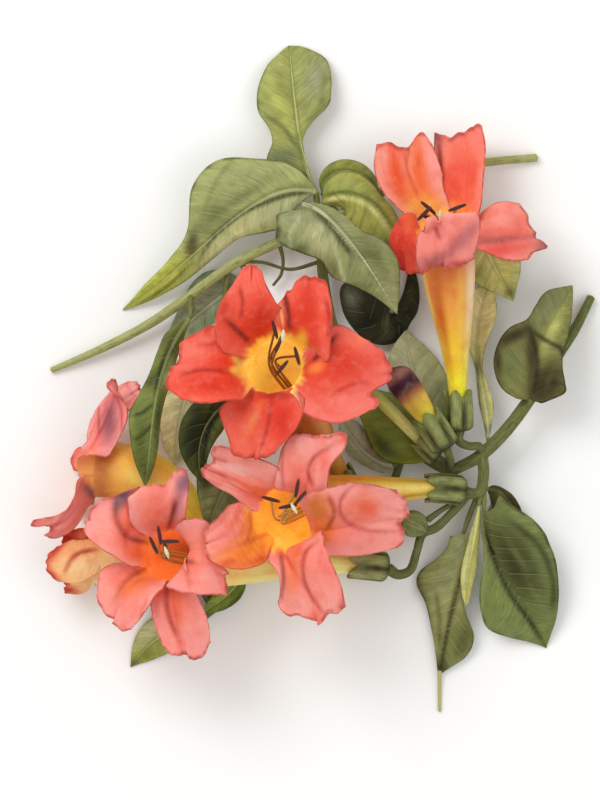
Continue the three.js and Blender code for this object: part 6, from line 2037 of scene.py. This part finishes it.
# Tube and throat washes hold the tubes' own colours, and also painted shade and painted highlights down the
# sides of each tube, round its mouth and inside its throat.
BLOOMS = [
    Bloom(
        "upright", Slot.PETAL_PINK, seat=(459, 430, 17), lead=(459, 376, 18), turn=(451, 296, 16),
        mouth=(446, 237, 28), mouth_radius=9.6, spin=-34, centre=(240, 104, 66), margin=(248, 146, 130),
        outside=(238, 146, 130), throat=(252, 186, 84), lobes=UPRIGHT_LOBES,
        tube=((255, 238, 40), (255, 236, 52), (246, 190, 66), (232, 158, 74), (222, 136, 80)),
        tube_washes=(
            Wash((192, 98, 40), 0.62, 0.6, 0.34, 0.26, 0.85),
            Wash((252, 236, 196), 0.74, -0.85, 0.36, 0.24, 0.92),
            Wash((248, 206, 96), 0.66, -0.42, 0.3, 0.2, 0.7),
            Wash((250, 222, 120), 0.66, 0.98, 0.3, 0.1, 0.8),
            Wash((200, 116, 64), 0.9, 0, 0.1, 1, 0.6),
        ),
        anthers=((424, 214, 38, 45), (428, 208, 38, 140), (432, 219, 37, 165), (457, 208, 38, 20)),
        stigma=(440, 216, 39, 90),
    ),
    Bloom(
        "red", Slot.PETAL_RED, seat=(352, 505, 6), lead=(336, 455, 10), turn=(286, 386, 30),
        mouth=(275, 367, 44), mouth_radius=10.8, spin=4, centre=(228, 72, 44), margin=(242, 108, 88),
        outside=(230, 96, 72), throat=(255, 222, 100), deep=(246, 202, 88), throat_reach=0.2,
        filament=((214, 150, 60), (128, 60, 34)), lobes=RED_LOBES,
        tube=((236, 200, 80), (206, 140, 60), (196, 118, 50), (214, 130, 60)),
        tube_washes=(
            Wash((120, 92, 40), 0.35, 0.7, 0.3, 0.3, 0.7),
            Wash((236, 190, 120), 0.5, -0.5, 0.3, 0.3, 0.6),
        ),
        throat_washes=(Wash((150, 120, 40), 0.8, 0.2, 0.12, 2, 0.45),),
        anthers=((275, 330, 57, 105), (279, 344, 57, 70), (282, 368, 58, 50), (297, 356, 56, 105)),
        stigma=(283, 336, 61, 85),
    ),
    Bloom(
        "low", Slot.PETAL_PINK, seat=(464, 491, 14), lead=(410, 482, 20), turn=(312, 502, 22),
        mouth=(286, 517, 37), mouth_radius=11, spin=4, centre=(248, 136, 118), margin=(253, 164, 154),
        outside=(244, 142, 128), throat=(250, 192, 70), deep=(236, 172, 58), throat_reach=0.16,
        lobes=LOW_LOBES, tube=((250, 226, 110), (244, 208, 80), (240, 190, 70), (236, 160, 64)),
        tube_washes=(
            Wash((150, 140, 60), 0.2, -0.7, 0.16, 0.25, 0.7),
            Wash((252, 240, 150), 0.3, -0.1, 0.25, 0.3, 0.7),
            Wash((134, 116, 50), 0.32, 0.6, 0.22, 0.2, 0.7),
            Wash((226, 150, 50), 0.5, -0.85, 0.3, 0.2, 0.7),
        ),
        throat_washes=(Wash((150, 104, 34), 0.75, -0.5, 0.2, 0.5, 0.5),),
        anthers=((271, 499, 53, 165), (297, 488, 54, 80), (300, 498, 54, 50), (288, 506, 52, 190)),
        stigma=(294, 508, 54, 120),
    ),
    Bloom(
        "lower_left", Slot.PETAL_PINK, seat=(388, 568, 10), lead=(325, 560, 12), turn=(196, 568, 16),
        mouth=(169, 556, 32), calyx_tone=(146, 146, 92), mouth_radius=9.5, spin=6, centre=(248, 134, 112),
        margin=(253, 164, 156), outside=(244, 144, 130), throat=(240, 136, 64), deep=(196, 92, 44),
        throat_reach=0.2, throat_washes=(Wash((120, 44, 28), 0.78, -0.4, 0.16, 0.5, 0.8),),
        lobes=LOWER_LEFT_LOBES, tube=((252, 244, 150), (250, 238, 150), (248, 220, 130), (240, 170, 90)),
        tube_washes=(Wash((226, 190, 90), 0.4, -0.8, 0.5, 0.25, 0.6),),
        anthers=((154, 545, 45, 115), (160, 535, 46, 100), (170, 541, 46, 0), (166, 549, 45, 100)),
        stigma=(167, 552, 46, 110),
    ),
    Bloom(
        "far_left", Slot.PETAL_PINK, seat=(205, 590, 5.2), lead=(208, 488, 7), turn=(152, 473, 18),
        mouth=(98, 469, 16), mouth_radius=10, spin=-54, lobe_rows=40, sector=26, centre=(248, 146, 138),
        margin=(252, 166, 160), outside=(240, 144, 136), throat=(236, 190, 90), lobes=FAR_LEFT_LOBES,
        tube=((250, 226, 90), (252, 228, 90), (252, 222, 84), (250, 210, 80), (238, 176, 90)),
        tube_washes=(
            Wash((244, 170, 70), 0.8, -0.5, 0.12, 0.3, 0.7),
            Wash((255, 242, 140), 0.72, 0.1, 0.14, 0.4, 0.7),
            Wash((220, 150, 50), 0.55, 0.8, 0.25, 0.2, 0.6),
            Wash((170, 96, 48), 0.97, 0, 0.05, 2, 0.75),
        ),
        anthers=((102, 464, 15, 180), (101, 474, 16, 190), (103, 480, 14, 185), (103, 458, 13, 175)),
        stigma=(99, 469, 16, 180),
    ),
    Bloom(
        "half_open", Slot.PETAL_PINK, seat=(187, 609, 6), lead=(160, 596, 7.5), turn=(130, 570, 9.5),
        mouth=(99, 562, 10.5), mouth_radius=7.6, spin=0, lobe_rows=40, sector=26, centre=(246, 176, 116),
        margin=(200, 84, 62), outside=(248, 196, 138), throat=(250, 214, 130), lobes=HALF_OPEN_LOBES,
        tube=((252, 240, 170), (250, 230, 170), (250, 222, 160)),
        anthers=((88, 558, 11, 180), (88, 567, 11, 180), (90, 562, 8, 180), (90, 555, 8, 180)),
        stigma=(84, 562, 10, 180),
    ),
]

BUDS = [
    Bud(
        "bud", Slot.BUD, seat=(446, 448, 23), lead=(432, 424, 22), turn=(416, 400, 22),
        mouth=(393, 369, 21), size=1, swell=5.1,
        # The bud's tones darken to its purple-black cap; the paler tone next to last is a painted highlight
        # on the cap.
        tones=(
            (236, 232, 150), (242, 234, 132), (246, 234, 112), (246, 232, 96), (242, 222, 86),
            (236, 210, 80), (226, 188, 78), (176, 120, 72), (92, 52, 60), (84, 48, 58), (160, 108, 98),
            (112, 66, 72),
        ),
    ),
    Bud(
        "young_bud", Slot.BUD, seat=(437, 457, 15.5), lead=(424, 445, 15.5), turn=(396, 414, 15.5),
        mouth=(368, 389, 18), size=0.6, swell=2.3,
        tones=((198, 204, 116), (228, 228, 144), (210, 212, 118), (150, 152, 78)),
    ),
]

SPENT_CUP = ((425, 531, 12, 2), (419, 527, 12.6, 4.2), (411, 523, 12.8, 4.6), (405, 521, 12.6, 3.6))
SPENT_STYLE = ((408, 522, 12.6, 1.3), (399, 520, 12.6, 1.5))


@dataclass(frozen=True)
class Studio:
    """A pale floor, soft light from all round and a camera that looks straight down."""

    floor_reach: float = 6.0
    floor_drop: float = 0.0002
    floor_tone: Colour = (252, 252, 250)
    lens: float = 1000.0
    sensor: float = 36.0
    frame_height: float = 0.28
    middle: tuple[float, float] = (-0.003045, -0.00735)
    focus_height: float = 0.025

    def floor(self) -> None:
        """One large plain square just under the spray."""
        reach = self.floor_reach
        corners = [(-reach, -reach), (reach, -reach), (reach, reach), (-reach, reach)]
        mesh = bpy.data.meshes.new("floor")
        mesh.from_pydata([(x, y, -self.floor_drop) for x, y in corners], [], [(0, 1, 2, 3)])
        n = Nodes("floor_finish")
        n.put(n.shader.inputs["Base Color"], rgba(self.floor_tone))
        n.put(n.shader.inputs["Roughness"], 0.9)
        n.shader.inputs["Specular IOR Level"].default_value = 0.1
        mesh.materials.append(n.material)
        floor = bpy.data.objects.new("floor", mesh)
        bpy.context.scene.collection.objects.link(floor)

    def lamp(self, name: str, place: tuple[float, float, float], size: float, power: float) -> None:
        """A square area light that faces the spray."""
        data = bpy.data.lights.new(name, "AREA")
        data.size = size
        data.energy = power
        lamp = bpy.data.objects.new(name, data)
        lamp.location = place
        lamp.rotation_euler = Vector(place).to_track_quat("Z", "Y").to_euler()
        bpy.context.scene.collection.objects.link(lamp)

    def light(self) -> None:
        """Even light from the sky and a large soft key from the upper left."""
        world = bpy.data.worlds.new("studio")
        world.use_nodes = True
        world.node_tree.nodes["Background"].inputs[0].default_value = (1, 1, 1, 1)
        world.node_tree.nodes["Background"].inputs[1].default_value = 0.7
        bpy.context.scene.world = world
        bpy.context.scene.view_settings.view_transform = "Standard"
        self.lamp("key", (-0.5, 0.55, 0.9), 0.6, 5.8)
        self.lamp("fill", (0.6, -0.3, 0.9), 0.9, 1.8)

    def camera(self) -> None:
        """A long lens straight above, so that the spray is seen without perspective."""
        data = bpy.data.cameras.new("camera")
        data.lens = self.lens
        data.sensor_width = self.sensor
        distance = self.frame_height * self.lens / self.sensor
        data.clip_end = 100
        camera = bpy.data.objects.new("camera", data)
        camera.location = (*self.middle, distance + self.focus_height)
        bpy.context.scene.collection.objects.link(camera)
        bpy.context.scene.camera = camera


def main() -> None:
    """Builds the spray piece by piece and sets up the studio."""
    logging.basicConfig(level=logging.INFO, format="%(name)s: %(message)s")
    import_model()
    leaf_finishes = {
        slot: finish.material(f"leaf_skin_{slot.value}") for slot, finish in LEAF_FINISHES.items()
    }
    petal_finish = PetalFinish().material("petal_skin")
    bud_finish = PetalFinish(streak=(196, 186, 150), light=(250, 240, 190)).material("bud_skin")
    bark_finish = BarkFinish().material("green_bark")
    stamen_finish = StamenFinish().material("stamen_skin")
    stem = Stem(BRANCHES, STALKS, SPENT_CUP, SPENT_STYLE)
    add_piece("stem", stem.surface(LEAVES, [*BLOOMS, *BUDS]), bark_finish)
    for leaf in LEAVES:
        add_piece(leaf.name, leaf.surface(), leaf_finishes[leaf.slot])
    for bloom in BLOOMS:
        add_piece(f"corolla_{bloom.name}", bloom.corolla(), petal_finish)
        add_piece(f"stamens_{bloom.name}", bloom.stamens(), stamen_finish)
    for bud in BUDS:
        add_piece(bud.name, bud.club(), bud_finish)
    studio = Studio()
    studio.floor()
    studio.light()
    studio.camera()
    bpy.context.view_layer.update()


if __name__ == "__main__":
    main()
